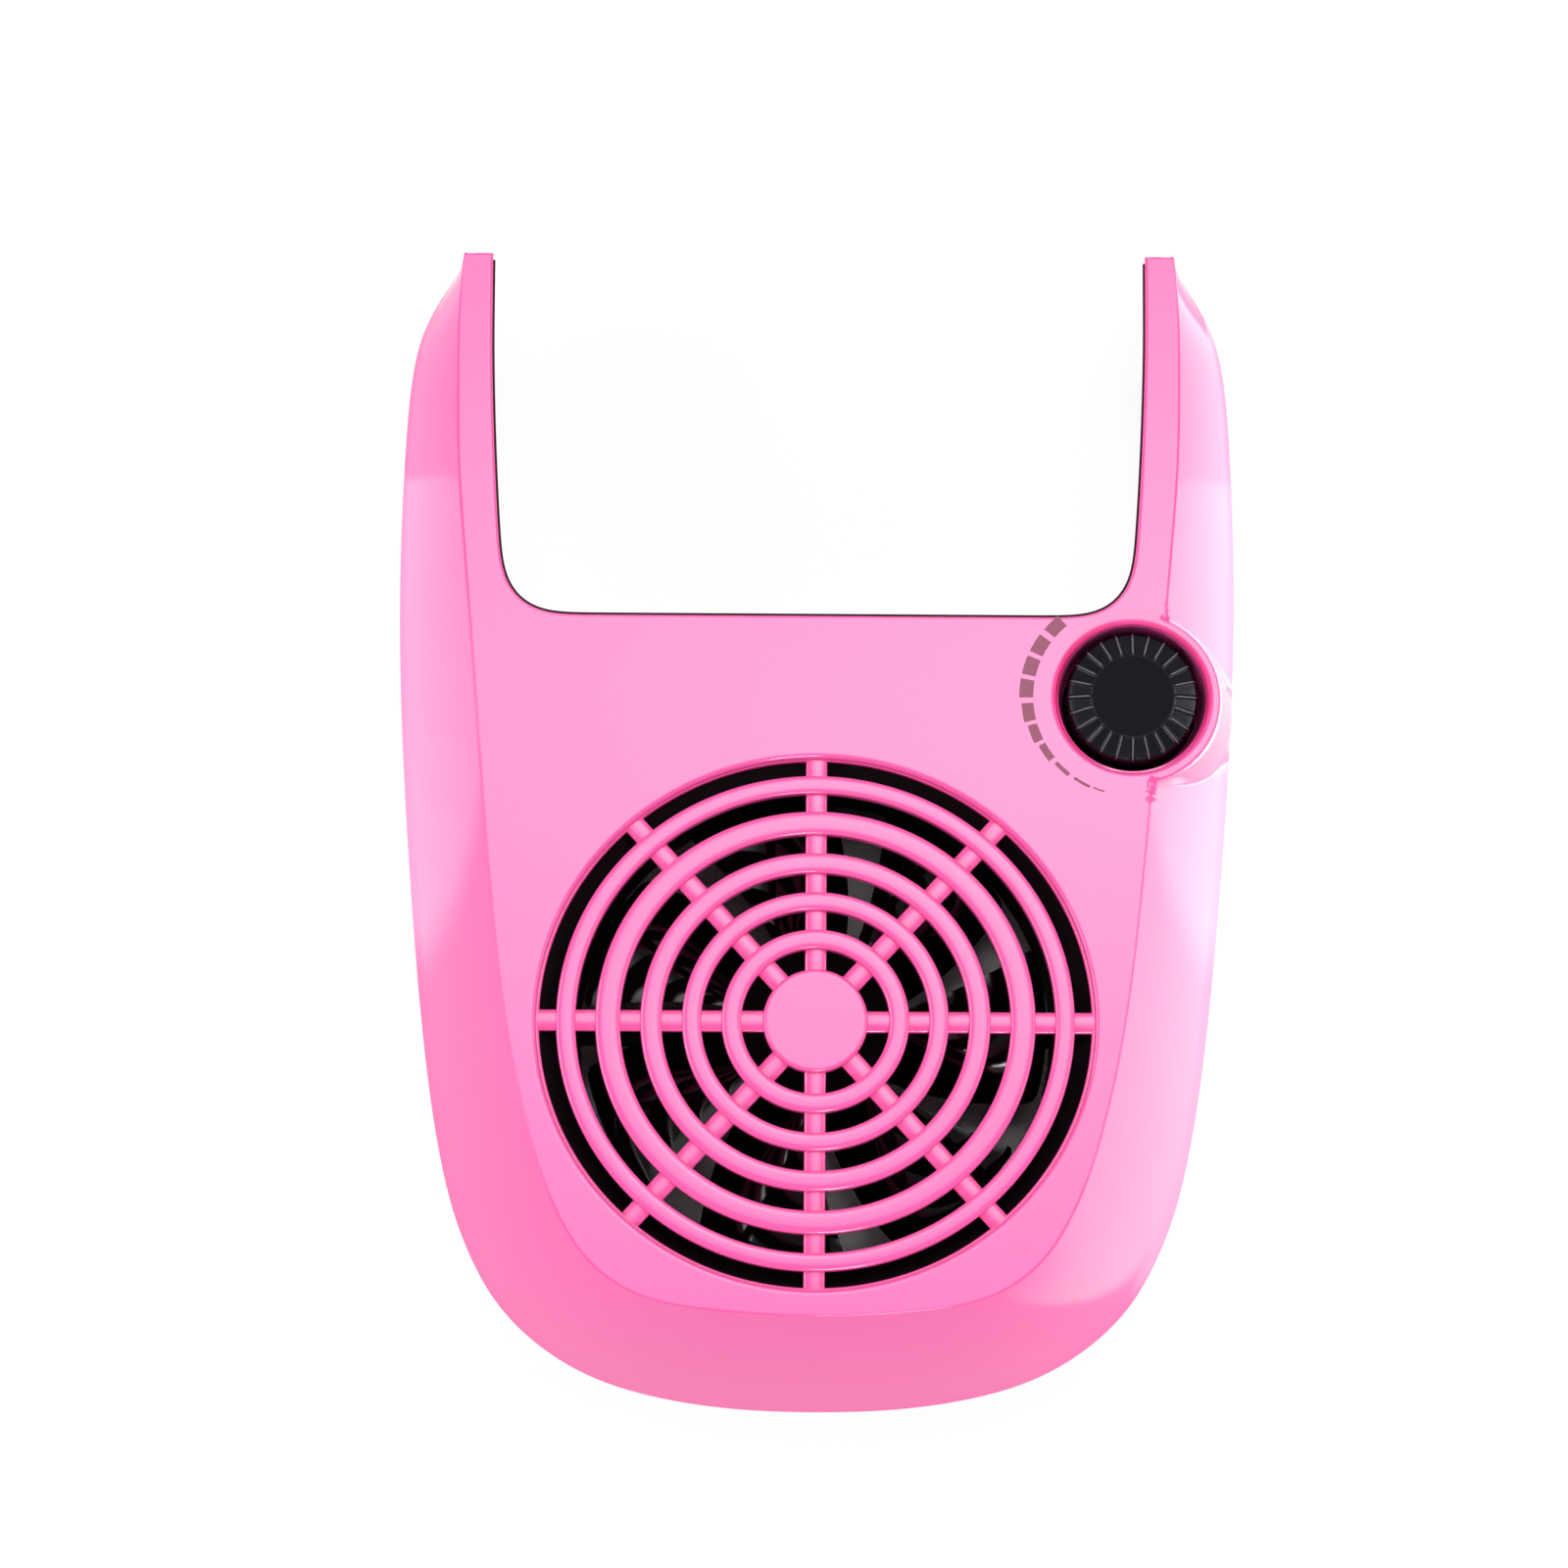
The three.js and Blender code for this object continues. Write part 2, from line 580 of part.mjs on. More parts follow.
// A plug-in header with a shrouded mouth towards -X.
function boardConnector(y) {
  const shell = box(43, 50, y - 4, y + 4, BOARD_TOP + GAP, BOARD_TOP + 7);
  return cut(shell, box(42, 47, y - 2.9, y + 2.9, BOARD_TOP + 1.4, BOARD_TOP + 5.9));
}

// ---- Power inlet: its profiles give distance in from the seat on the case's left side --------

function inletPiece(profile) {
  const points = profile.map(([r, depth]) => new THREE.Vector2(r, depth));
  const geometry = new THREE.LatheGeometry(points, 20).rotateZ(-Math.PI / 2);
  return solidOf(geometry.translate(INLET.seat, INLET.y, INLET.z));
}

const powerInlet = () =>
  inletPiece([
    [3.2, -1.6], [5.8, -1.6], [6.6, -1], [6.6, -GAP], [4, -GAP], [4, 14], [1.3, 14], [1.3, 10],
    [3.2, 10], [3.2, -1.6],
  ]);

const inletPin = () =>
  inletPiece([[0, 0.4], [0.7, 0.4], [1, 1], [1, 15.5], [0, 15.5]]);

function inletNut() {
  const hexagon = cylinder(7.2, 2.4, 4.8, { segments: 6 });
  const ring = geometryOf(cut(hexagon, cylinder(4.3, 0, 6)));
  return solidOf(ring.rotateY(Math.PI / 2).translate(INLET.seat, INLET.y, INLET.z));
}

// A round lead along a curve through the given points.
function lead(diameter, points) {
  const curve = new THREE.CatmullRomCurve3(points.map((p) => new THREE.Vector3(...p)));
  const section = new THREE.Shape(
    Array.from({ length: 8 }, (_, i) => {
      const angle = (Math.PI * i) / 4;
      return new THREE.Vector2(Math.cos(angle), Math.sin(angle)).multiplyScalar(diameter / 2);
    }),
  );
  const steps = Math.round(curve.getLength() / (2.5 * diameter));
  const options = { steps, extrudePath: curve, bevelEnabled: false };
  return solidOf(new THREE.ExtrudeGeometry(section, options));
}

// ---- Filter drawer -------------------------------------------------------------------------

function filterSleeve() {
  const { x, y0, y1, z0, z1 } = SLEEVE;
  return cut(box(-x, x, y0, y1, z0, z1), box(-SLOT.x, SLOT.x, y0 - 1, y1 + 1, SLOT.z0, SLOT.z1));
}

function filterTray() {
  const { x, y0, y1, z0, z1 } = TRAY;
  const basket = cut(
    box(-x, x, y0, y1, z0, z1),
    box(-x + 2, x - 2, y0 + 2, 46.6, z0 + 1.6, z1 + 1),
  );
  const inlets = [-36.3, -12.1, 12.1, 36.3].map((middle) =>
    box(middle - 10.6, middle + 10.6, y0 - 1, y0 + 3, z0 + 2.4, z1 - 1.6),
  );
  const corner = 3;
  const plateShape = new THREE.Shape();
  const [px, low, high] = [56, 7.2, 28.6];
  plateShape.moveTo(-px + corner, low);
  plateShape.lineTo(px - corner, low);
  plateShape.absarc(px - corner, low + corner, corner, -Math.PI / 2, 0);
  plateShape.lineTo(px, high - corner);
  plateShape.absarc(px - corner, high - corner, corner, 0, Math.PI / 2);
  plateShape.lineTo(-px + corner, high);
  plateShape.absarc(-px + corner, high - corner, corner, Math.PI / 2, Math.PI);
  plateShape.lineTo(-px, low + corner);
  plateShape.absarc(-px + corner, low + corner, corner, Math.PI, 1.5 * Math.PI);
  const flat = new THREE.ExtrudeGeometry(plateShape, {
    depth: 2,
    bevelEnabled: false,
    curveSegments: 5,
  });
  const plate = solidOf(flat.rotateX(Math.PI / 2).translate(0, 52.4, 0));
  const louvres = [11.6, 15, 18.4, 21.8].map((z) => box(-44, 44, 44, 60, z, z + 2));
  const pull = box(-17, 17, 52, 55, 24.4, 26.6);
  return cut(join(basket, plate, pull), ...inlets, ...louvres);
}

// A sheet folded to and fro across the drawer, standing between the frame's top and bottom.
function filterPleats() {
  const folds = 34;
  const half = 48.2;
  const [near, far] = [13, 39];
  const front = [];
  const back = [];
  for (let i = 0; i <= folds; i++) {
    const x = -half + (2 * half * i) / folds;
    const y = i % 2 ? far : near;
    front.push([x, y]);
    back.push([x, y + 5]);
  }
  return extrude([...front, ...back.reverse()], 12.3, 25.3);
}

const filterFrame = () =>
  cut(box(-50.4, 50.4, 9, 45.6, 10.6, 26.8), box(-49, 49, 8, 47, 12, 25.6));

const drawerSeal = () =>
  cut(box(-55.4, 55.4, 49.3, 50.1, 7.6, 28.2), box(-53.2, 53.2, 49, 51, 8.2, 27.6));

// ---- Assembly ------------------------------------------------------------------------------

const plastic = (color, roughness = 0.35) =>
  new THREE.MeshStandardMaterial({ color, roughness, metalness: 0 });
const metal = (color, roughness = 0.3) =>
  new THREE.MeshStandardMaterial({ color, roughness, metalness: 1 });

const PINK = plastic(0xff8cc8, 0.2);
const WHITE = plastic(0xf2f0f0, 0.3);
const BLACK = plastic(0x121214, 0.25);
const RUBBER = plastic(0x1b1b1d, 0.8);
const SLEEVE_GREY = plastic(0x55565a, 0.5);
const PAPER = plastic(0xf4f1e8, 0.95);
const CARD = plastic(0xd9d4c6, 0.9);
const BOARD_GREEN = plastic(0x1d5b38, 0.5);
const STEEL = metal(0xb9bbbf, 0.3);
const COPPER = metal(0xb8703a, 0.4);
const ALUMINIUM = metal(0xc9cbce, 0.35);
const FERRITE = plastic(0x3a3a3c, 0.6);

const collector = new THREE.Group();

function add(name, solid, material) {
  const mesh = new THREE.Mesh(geometryOf(solid), material);
  mesh.name = name;
  collector.add(mesh);
}

add("top_cover", topCover(), PINK);
add("bottom_case", bottomCase(), WHITE);
add("notch_seal", notchSeal(), RUBBER);
add("intake_grille", intakeGrille(), PINK);
add("intake_funnel", intakeFunnel(), BLACK);

add("fan_frame", fanFrame(), BLACK);
add("fan_rotor", fanRotor(), BLACK);
add("rotor_magnet", tubeAt(16.9, 18, 36, 47.5, atFan, 36), FERRITE);
add("rotor_shaft", cylinder(1.4, 31, 50.4, { ...atFan, segments: 16 }), STEEL);
add("bearing_lower", tubeAt(1.7, 4.1, 32, 35, atFan, 24), STEEL);
add("bearing_upper", tubeAt(1.7, 4.1, 44.5, 47.5, atFan, 24), STEEL);
add("stator_core", statorCore(), FERRITE);
for (let i = 0; i < 4; i++) add(`stator_coil_${i + 1}`, statorCoil(i), COPPER);
add("motor_board", tubeAt(6.1, 15.8, 32.5, 33.7, atFan), BOARD_GREEN);

add("speed_knob", speedKnob(), BLACK);
add("potentiometer_shaft", potentiometerShaft(), ALUMINIUM);
add("potentiometer_body", potentiometerBody(), ALUMINIUM);
add("potentiometer_washer", tubeAt(4.5, 7.6, 47.3, 47.8, atKnob), STEEL);
add("potentiometer_nut", potentiometerNut(), STEEL);
add("control_board", controlBoard(), BOARD_GREEN);
add("board_capacitor", cylinder(5, BOARD_TOP + GAP, 44, { x: 57, y: 38 }), BLACK);
add("board_heat_sink", heatSink(), ALUMINIUM);
add("power_connector", boardConnector(34), WHITE);
add("fan_connector", boardConnector(20), WHITE);

add("power_inlet", powerInlet(), BLACK);
add("inlet_pin", inletPin(), STEEL);
add("inlet_nut", inletNut(), STEEL);
add(
  "power_lead",
  lead(4, [
    [-86.7, 36, 17], [-81, 36, 17.2], [-72, 35, 22], [-66, 34, 30], [-56, 33, 34.5], [-30, 33, 35],
    [0, 33, 35.3], [25, 34, 36.5], [37, 34, 37.9], [42.6, 34, 37.9],
  ]),
  RUBBER,
);
add(
  "fan_lead",
  lead(3, [
    [16, 8.9, 42], [16.8, 12, 40.5], [22, 17, 38.4], [32, 20, 37.8], [42.6, 20, 37.8],
  ]),
  RUBBER,
);

add("filter_sleeve", filterSleeve(), SLEEVE_GREY);
add("filter_tray", filterTray(), WHITE);
add("filter_frame", filterFrame(), CARD);
add("filter_pleats", filterPleats(), PAPER);
add("drawer_seal", drawerSeal(), RUBBER);

const SIDES = ["right", "left"];
mirrored(SCREW_SPOTS).forEach(([x, y], i) => {
  const row = ["front", "middle", "rear"][Math.floor(i / 2)];
  add(`case_screw_${row}_${SIDES[i % 2]}`, caseScrew(x, y), STEEL);
});
mirrored(FOOT_SPOTS).forEach(([x, y], i) => {
  add(`foot_${["front", "rear"][Math.floor(i / 2)]}_${SIDES[i % 2]}`, foot(x, y), RUBBER);
});
fanLugSpots().forEach(([x, y], i) => {
  const profile = [
    [0, 35.3], [0.9, 35.3], [1.1, 36.4], [2.2, 36.4], [2.9, 35.8], [2.9, 34.3], [1.2, 34.3],
    [1.2, 15], [0, 14],
  ];
  add(`fan_screw_${i + 1}`, lathe(profile, { x, y, segments: 10 }), STEEL);
});

export default collector;
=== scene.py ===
"""Looks of the nail dust collector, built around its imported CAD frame. Lengths are in millimetres here
and become metres where a mesh is made."""

import json
import math

import bmesh
import bpy
import numpy as np
from mathutils import Matrix, Vector
from mathutils.geometry import delaunay_2d_cdt


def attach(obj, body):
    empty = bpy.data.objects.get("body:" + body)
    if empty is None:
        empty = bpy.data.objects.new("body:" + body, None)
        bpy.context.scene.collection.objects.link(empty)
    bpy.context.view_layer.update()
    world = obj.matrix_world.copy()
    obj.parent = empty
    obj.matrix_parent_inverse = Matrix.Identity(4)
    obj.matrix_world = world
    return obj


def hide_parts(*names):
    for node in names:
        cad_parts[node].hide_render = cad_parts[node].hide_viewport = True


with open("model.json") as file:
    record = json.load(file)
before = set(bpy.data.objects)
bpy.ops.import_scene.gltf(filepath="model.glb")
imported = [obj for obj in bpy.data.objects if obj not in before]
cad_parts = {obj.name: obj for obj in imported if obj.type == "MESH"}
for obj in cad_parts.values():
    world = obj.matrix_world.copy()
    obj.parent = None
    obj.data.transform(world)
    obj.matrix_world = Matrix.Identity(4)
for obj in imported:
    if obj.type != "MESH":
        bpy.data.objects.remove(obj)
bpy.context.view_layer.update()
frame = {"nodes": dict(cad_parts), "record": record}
MM = 0.001

# ---- Camera ---------------------------------------------------------------------------------

TARGET = Vector((-8.04, 11.8, 30)) * MM
DISTANCE = 1.4
TILT = math.radians(9)
ROLL = 0.37

camera = bpy.data.objects.new("camera", bpy.data.cameras.new("camera"))
bpy.context.scene.collection.objects.link(camera)
back = Vector((0, -math.sin(TILT), math.cos(TILT)))
upward = Vector((0, math.cos(TILT), math.sin(TILT)))
turn = Matrix((upward.cross(back), upward, back)).transposed()
camera.matrix_world = (Matrix.Translation(TARGET + back * DISTANCE) @ turn.to_4x4()
                       @ Matrix.Rotation(math.radians(ROLL), 4, "Z"))
camera.data.sensor_width = 36
camera.data.lens = 127.35
camera.data.clip_end = 20
bpy.context.scene.camera = camera

# ---- Materials ------------------------------------------------------------------------------

MATERIALS = {}


def srgb(r, g, b):
    """A display colour given from 0 to 255, as the linear colour that a shader takes."""
    values = [c / 255 for c in (r, g, b)]
    return [c / 12.92 if c <= 0.04045 else ((c + 0.055) / 1.055) ** 2.4 for c in values] + [1.0]


def set_inputs(node, **values):
    """Sets a shader node's inputs, with underscores for the spaces in their names."""
    for name, value in values.items():
        node.inputs[name.replace("_", " ")].default_value = value
    return node


def add_node(nodes, kind, operation=None, **values):
    node = nodes.new("ShaderNode" + kind)
    if operation:
        node.operation = operation
    return set_inputs(node, **values)


def material(name, colour, roughness, metal=0.0, coat=0.0, coat_roughness=0.05, ior=1.5,
             variation=0.03, scale=60.0, bump=0.02, grain=1500.0, specular=0.5):
    """A moulded or finished surface: slight colour and gloss variation, and a fine relief."""
    made = bpy.data.materials.new(name)
    made.use_nodes = True
    nodes, links = made.node_tree.nodes, made.node_tree.links
    shader = nodes["Principled BSDF"]
    set_inputs(shader, Metallic=metal, IOR=ior, Specular_IOR_Level=specular, Coat_Weight=coat,
               Coat_Roughness=coat_roughness)
    place = add_node(nodes, "TexCoord")
    broad = add_node(nodes, "TexNoise", Scale=scale, Detail=3)
    links.new(place.outputs["Object"], broad.inputs["Vector"])
    tint = nodes.new("ShaderNodeMix")
    tint.data_type = "RGBA"
    tint.inputs["A"].default_value = [c * (1 - variation) for c in colour[:3]] + [1]
    tint.inputs["B"].default_value = [min(1, c * (1 + variation)) for c in colour[:3]] + [1]
    links.new(broad.outputs["Fac"], tint.inputs["Factor"])
    links.new(tint.outputs["Result"], shader.inputs["Base Color"])
    gloss = add_node(nodes, "MapRange", To_Min=roughness * 0.88, To_Max=min(1, roughness * 1.12))
    links.new(broad.outputs["Fac"], gloss.inputs["Value"])
    links.new(gloss.outputs["Result"], shader.inputs["Roughness"])
    if bump:
        fine = add_node(nodes, "TexNoise", Scale=grain, Detail=2)
        links.new(place.outputs["Object"], fine.inputs["Vector"])
        relief = add_node(nodes, "Bump", Strength=bump, Distance=0.0002)
        links.new(fine.outputs["Fac"], relief.inputs["Height"])
        links.new(relief.outputs["Normal"], shader.inputs["Normal"])
    MATERIALS[name] = made
    return made


PINK = [0.97, 0.115, 0.42, 1.0]
material("cover_pink", PINK, 0.12, coat=0.35, coat_roughness=0.03, variation=0.012, scale=25, bump=0.003)
material("grille_pink", PINK, 0.16, coat=0.3, coat_roughness=0.06, variation=0.012, scale=40, bump=0.004)
material("print_mauve", srgb(160, 98, 120), 0.6, variation=0.1, scale=900, bump=0.02, specular=0.1)
material("case_white", srgb(228, 225, 228), 0.28, coat=0.2, variation=0.01, scale=30, bump=0.01)
material("drawer_white", srgb(236, 234, 236), 0.3, coat=0.1, variation=0.01, scale=40, bump=0.01)
# The seals' dark maroon also serves as painted shade: along the notch it stands in for the shadow in the
# seam at the cover's edge.
material("seal_rubber", srgb(52, 10, 26), 0.6, variation=0.1, scale=300, bump=0.05, specular=0.15)
material("fan_black", srgb(12, 8, 12), 0.07, variation=0.1, scale=80, bump=0.004, specular=0.3)
material("funnel_black", srgb(12, 6, 11), 0.7, variation=0.1, scale=80, bump=0.02, specular=0.12)
material("knob_black", srgb(11, 10, 19), 0.32, variation=0.12, scale=500, bump=0.03, grain=4000,
         specular=0.34)
material("rubber_foot", srgb(34, 33, 35), 0.75, variation=0.1, scale=300, bump=0.15, grain=3000)
material("screw_steel", srgb(186, 188, 192), 0.28, metal=1, variation=0.06, scale=500, bump=0.04)
material("shaft_steel", srgb(198, 199, 203), 0.22, metal=1, variation=0.05, scale=600, bump=0.03)
material("core_steel", srgb(70, 70, 74), 0.5, metal=0.6, variation=0.1, scale=400, bump=0.08)
material("coil_copper", srgb(186, 104, 52), 0.35, metal=0.9, variation=0.12, scale=900, bump=0.2)
material("board_green", srgb(22, 92, 52), 0.35, coat=0.3, variation=0.15, scale=350, bump=0.05)
material("aluminium", srgb(196, 198, 202), 0.34, metal=1, variation=0.05, scale=500, bump=0.05)
material("component_black", srgb(24, 24, 26), 0.4, variation=0.1, scale=300, bump=0.05)
material("connector_white", srgb(226, 220, 205), 0.4, variation=0.04, scale=200, bump=0.03)
material("lead_sheath", srgb(26, 26, 28), 0.5, variation=0.08, scale=300, bump=0.05)
material("sleeve_grey", srgb(86, 87, 92), 0.5, variation=0.06, scale=120, bump=0.08)
material("filter_card", srgb(214, 205, 182), 0.85, variation=0.08, scale=250, bump=0.2)
material("filter_paper", srgb(240, 237, 226), 0.95, variation=0.05, scale=400, bump=0.35)

# ---- Meshes ---------------------------------------------------------------------------------


def piece(name, verts, faces, slot_name, body="housing", replaces=(), sharp=35, weighted=True,
          look=None):
    """A finished object from points in millimetres."""
    mesh = bpy.data.meshes.new(name)
    mesh.from_pydata((np.asarray(verts, float) * MM).tolist(), [], [list(map(int, f)) for f in faces])
    mesh.validate()
    return finish_piece(name, mesh, slot_name, body, replaces, sharp, weighted, look)


def finish_piece(name, mesh, slot_name, body, replaces, sharp, weighted, look):
    bm = bmesh.new()
    bm.from_mesh(mesh)
    bmesh.ops.remove_doubles(bm, verts=bm.verts, dist=1e-6)
    bmesh.ops.recalc_face_normals(bm, faces=bm.faces)
    bm.to_mesh(mesh)
    bm.free()
    mesh.name = name
    mesh.polygons.foreach_set("use_smooth", [True] * len(mesh.polygons))
    mesh.set_sharp_from_angle(angle=math.radians(sharp))
    mesh.materials.clear()
    mesh.materials.append(MATERIALS[look or slot_name])
    made = bpy.data.objects.new(name, mesh)
    bpy.context.scene.collection.objects.link(made)
    if weighted:
        modifier = made.modifiers.new("even_shading", "WEIGHTED_NORMAL")
        modifier.keep_sharp = True
    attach(made, body)
    if replaces:
        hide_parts(*replaces)
    return made


class Builder:
    """Collects points and faces, with points shared by index."""

    def __init__(self):
        self.verts = []
        self.faces = []

    def row(self, points):
        start = len(self.verts)
        self.verts.extend([tuple(map(float, p)) for p in points])
        return list(range(start, len(self.verts)))

    def strip(self, a, b, closed=True):
        n = len(a)
        for i in range(n if closed else n - 1):
            j = (i + 1) % n
            self.faces.append((a[i], a[j], b[j], b[i]))

    def strips(self, rows, closed=True):
        for a, b in zip(rows, rows[1:]):
            self.strip(a, b, closed)

    def fill(self, ring):
        self.faces.append(tuple(ring))

    def caps(self, rows):
        self.fill(rows[0][::-1])
        self.fill(rows[-1])

    def level(self, plan, z):
        return self.row(np.column_stack([plan, np.full(len(plan), z)]))

    def patch(self, loops, inner, height):
        """Triangles over the region inside the first loop and outside the others. Loops hold indices of
        points already here; inner holds new plan points, and height gives their z."""
        plan, index, edges = [], [], []
        for loop in loops:
            start = len(plan)
            plan.extend([self.verts[i][:2] for i in loop])
            index.extend(loop)
            n = len(loop)
            edges.extend([(start + k, start + (k + 1) % n) for k in range(n)])
        if len(inner):
            z = height(inner[:, 0], inner[:, 1])
            index.extend(self.row(np.column_stack([inner, z])))
            plan.extend(map(tuple, inner))
        done = delaunay_2d_cdt([Vector(p) for p in plan], edges, [], 0, 1e-7, True)
        points, _, faces, origins = done[0], done[1], done[2], done[3]
        source = []
        for k, found in enumerate(origins):
            if found:
                source.append(index[found[0]])
            else:
                x, y = points[k]
                source.append(self.row([(x, y, height(np.array([x]), np.array([y]))[0])])[0])
        shapes = [np.array([self.verts[i][:2] for i in loop]) for loop in loops]
        centres = np.array([np.mean([points[i][:] for i in f], axis=0) for f in faces])
        keep = inside(centres, shapes[0])
        for hole in shapes[1:]:
            keep &= ~inside(centres, hole)
        for f, wanted in zip(faces, keep):
            if wanted:
                self.faces.append(tuple(source[i] for i in f))


def inside(points, polygon):
    """Which plan points lie inside a closed polygon."""
    x, y = points[:, 0], points[:, 1]
    found = np.zeros(len(points), bool)
    for (ax, ay), (bx, by) in zip(polygon, np.roll(polygon, -1, axis=0)):
        crosses = (ay > y) != (by > y)
        with np.errstate(divide="ignore", invalid="ignore"):
            at = (bx - ax) * (y - ay) / (by - ay) + ax
        found ^= crosses & (x < at)
    return found


def distance_to(points, line):
    """Distance from each plan point to the nearest point of a dense line."""
    out = np.full(len(points), 1e9)
    for start in range(0, len(line), 200):
        part = line[start:start + 200]
        gap = np.linalg.norm(points[:, None, :] - part[None, :, :], axis=2).min(axis=1)
        out = np.minimum(out, gap)
    return out


def unit(v):
    return v / np.linalg.norm(v, axis=-1, keepdims=True)


def tangents(line, closed=False):
    if closed:
        return unit(np.roll(line, -1, axis=0) - np.roll(line, 1, axis=0))
    return unit(np.gradient(line, axis=0))


# ---- The cover's shape ----------------------------------------------------------------------

FRONT_Y, REAR_Y = -146.0, 146.0
RIM_OUTLINE = [
    (0, FRONT_Y), (30, -144.2), (57, -137), (77, -122), (87.9, -102.4), (93.6, -82), (98.1, -53),
    (102, -13), (104.8, 27), (105.8, 60), (105.2, 92), (103.2, 119), (99.3, 132), (91.2, REAR_Y),
]
CREASE_OUTLINE = [
    (0, -124.6), (22, -123.5), (42, -120.2), (55.5, -111), (64.5, -95.5), (70, -79), (75.7, -53),
    (80.6, -13), (84.6, 30), (87.4, 60), (90, 88), (90.8, 112), (91, 130), (90.2, REAR_Y),
]
CROWN_Z, CROWN_Y, CROWN_RADIUS = 70.0, -130.0, 1400.0
RIM_Z = 30.0
FAN_Y = -52.5
OPENING_R = 67.0
OVAL = 0.018
KNOB_X, KNOB_Y = 78.0, 29.0
BOSS_R, WELL_R = 22.0, 18.8
WELL_FLOOR = 47.0


def top_height(y):
    return CROWN_Z - (y - CROWN_Y) ** 2 / (2 * CROWN_RADIUS)


def centripetal(knots, steps):
    """A centripetal Catmull-Rom line through the knots."""
    knots = np.asarray(knots, float)
    first = 2 * knots[0] - knots[1]
    last = 2 * knots[-1] - knots[-2]
    p = np.vstack([first, knots, last])
    out = []
    for i in range(1, len(p) - 2):
        p0, p1, p2, p3 = p[i - 1:i + 3]
        d0, d1, d2 = (np.linalg.norm(b - a) ** 0.5 for a, b in ((p0, p1), (p1, p2), (p2, p3)))
        t1 = ((p1 - p0) / d0 - (p2 - p0) / (d0 + d1) + (p2 - p1) / d1) * d1
        t2 = ((p2 - p1) / d1 - (p3 - p1) / (d1 + d2) + (p3 - p2) / d2) * d1
        t = np.linspace(0, 1, steps, endpoint=False)[:, None]
        a = 2 * p1 - 2 * p2 + t1 + t2
        b = -3 * p1 + 3 * p2 - 2 * t1 - t2
        out.append(a * t ** 3 + b * t ** 2 + t1 * t + p1)
    out.append(p[-2:-1])
    return np.vstack(out)


def outline(half, steps=20, passes=60):
    """The whole outline from the left arm's tip round the front to the right arm's, softly evened."""
    half = np.asarray(half, float)
    left = half[::-1] * (-1, 1)
    line = centripetal(np.vstack([left, half[1:]]), steps)
    for _ in range(passes):
        inner = 0.25 * line[:-2] + 0.5 * line[1:-1] + 0.25 * line[2:]
        line = np.vstack([line[:1], inner, line[-1:]])
    return line


END_ROLL = 0.8
RIM = outline(RIM_OUTLINE)
CREASE = outline(CREASE_OUTLINE)
for line in (RIM, CREASE):
    tail = line[:, 1] > 126
    line[tail, 1] = 126 + (line[tail, 1] - 126) * (REAR_Y - END_ROLL - 126) / (REAR_Y - 126)

BAND = np.linalg.norm(CREASE - RIM, axis=1)
INWARD = (CREASE - RIM) / BAND[:, None]
CREASE_Z = top_height(CREASE[:, 1])


def side_height(u, q):
    """Height of the sloping side at a place u along the outline, q in from the rim."""
    width = np.interp(u, np.arange(len(BAND)), BAND)
    rise = np.interp(u, np.arange(len(BAND)), CREASE_Z) - RIM_Z
    slope = rise / width
    bulge = np.minimum(0.9, 0.05 * width) * np.sqrt(1 + slope ** 2)
    s = q / width
    swell = np.where(s < 1, bulge * 4 * s * (1 - s), -4 * bulge * (s - 1))
    return RIM_Z + rise * s + swell


def soft_min(a, b, k):
    h = np.clip(k - np.abs(a - b), 0, None) / k
    return np.minimum(a, b) - h * h * k / 4


def soft_max(a, b, k):
    return -soft_min(-a, -b, k)


def boss_height(x, y):
    r = np.hypot(x - KNOB_X, y - KNOB_Y)
    return top_height(y) + 2.0 - np.clip(r - BOSS_R + 0.35, 0, None) * 5.5


def locate(x, y):
    """Place along the outline and distance in from the rim, for plan points near the right side."""
    pts = np.column_stack([x, y])
    across = (pts[:, None, 0] - RIM[None, :, 0]) * INWARD[None, :, 1] - (
        pts[:, None, 1] - RIM[None, :, 1]) * INWARD[None, :, 0]
    lo = len(RIM) // 2
    signs = np.sign(across[:, lo:])
    change = np.argmax(signs[:, :-1] != signs[:, 1:], axis=1) + lo
    rows = np.arange(len(pts))
    a, b = across[rows, change], across[rows, change + 1]
    t = a / (a - b)
    u = change + t
    base = RIM[change] + (RIM[change + 1] - RIM[change]) * t[:, None]
    lean = unit(INWARD[change] + (INWARD[change + 1] - INWARD[change]) * t[:, None])
    return u, ((pts - base) * lean).sum(axis=1)


CREASE_SOFT = 0.4
WALL = 2.4
RIM_ROLL, NOTCH_ROLL, OPEN_ROLL, WELL_ROLL = 0.5, 0.8, 1.1, 1.5
FLANGE_SEAT_R = 72.0


def cover_height(x, y):
    """Height of the outer surface near the knob, where the boss joins the top and the side."""
    x, y = np.atleast_1d(x).astype(float), np.atleast_1d(y).astype(float)
    u, q = locate(x, y)
    side = soft_min(side_height(u, q), top_height(y), CREASE_SOFT)
    boss = soft_min(boss_height(x, y), top_height(y), 2.8)
    return np.minimum(soft_max(side, boss, 1.6), top_height(y))


# The notch.
NOTCH_Y, NOTCH_FLAT, NOTCH_Z, NOTCH_DRAFT = 49.8, 62.0, 60.0, 0.0008


def bezier(a, b, c, count):
    t = np.linspace(0, 1, count)[:, None]
    return (1 - t) ** 2 * np.array(a) + 2 * t * (1 - t) * np.array(b) + t ** 2 * np.array(c)


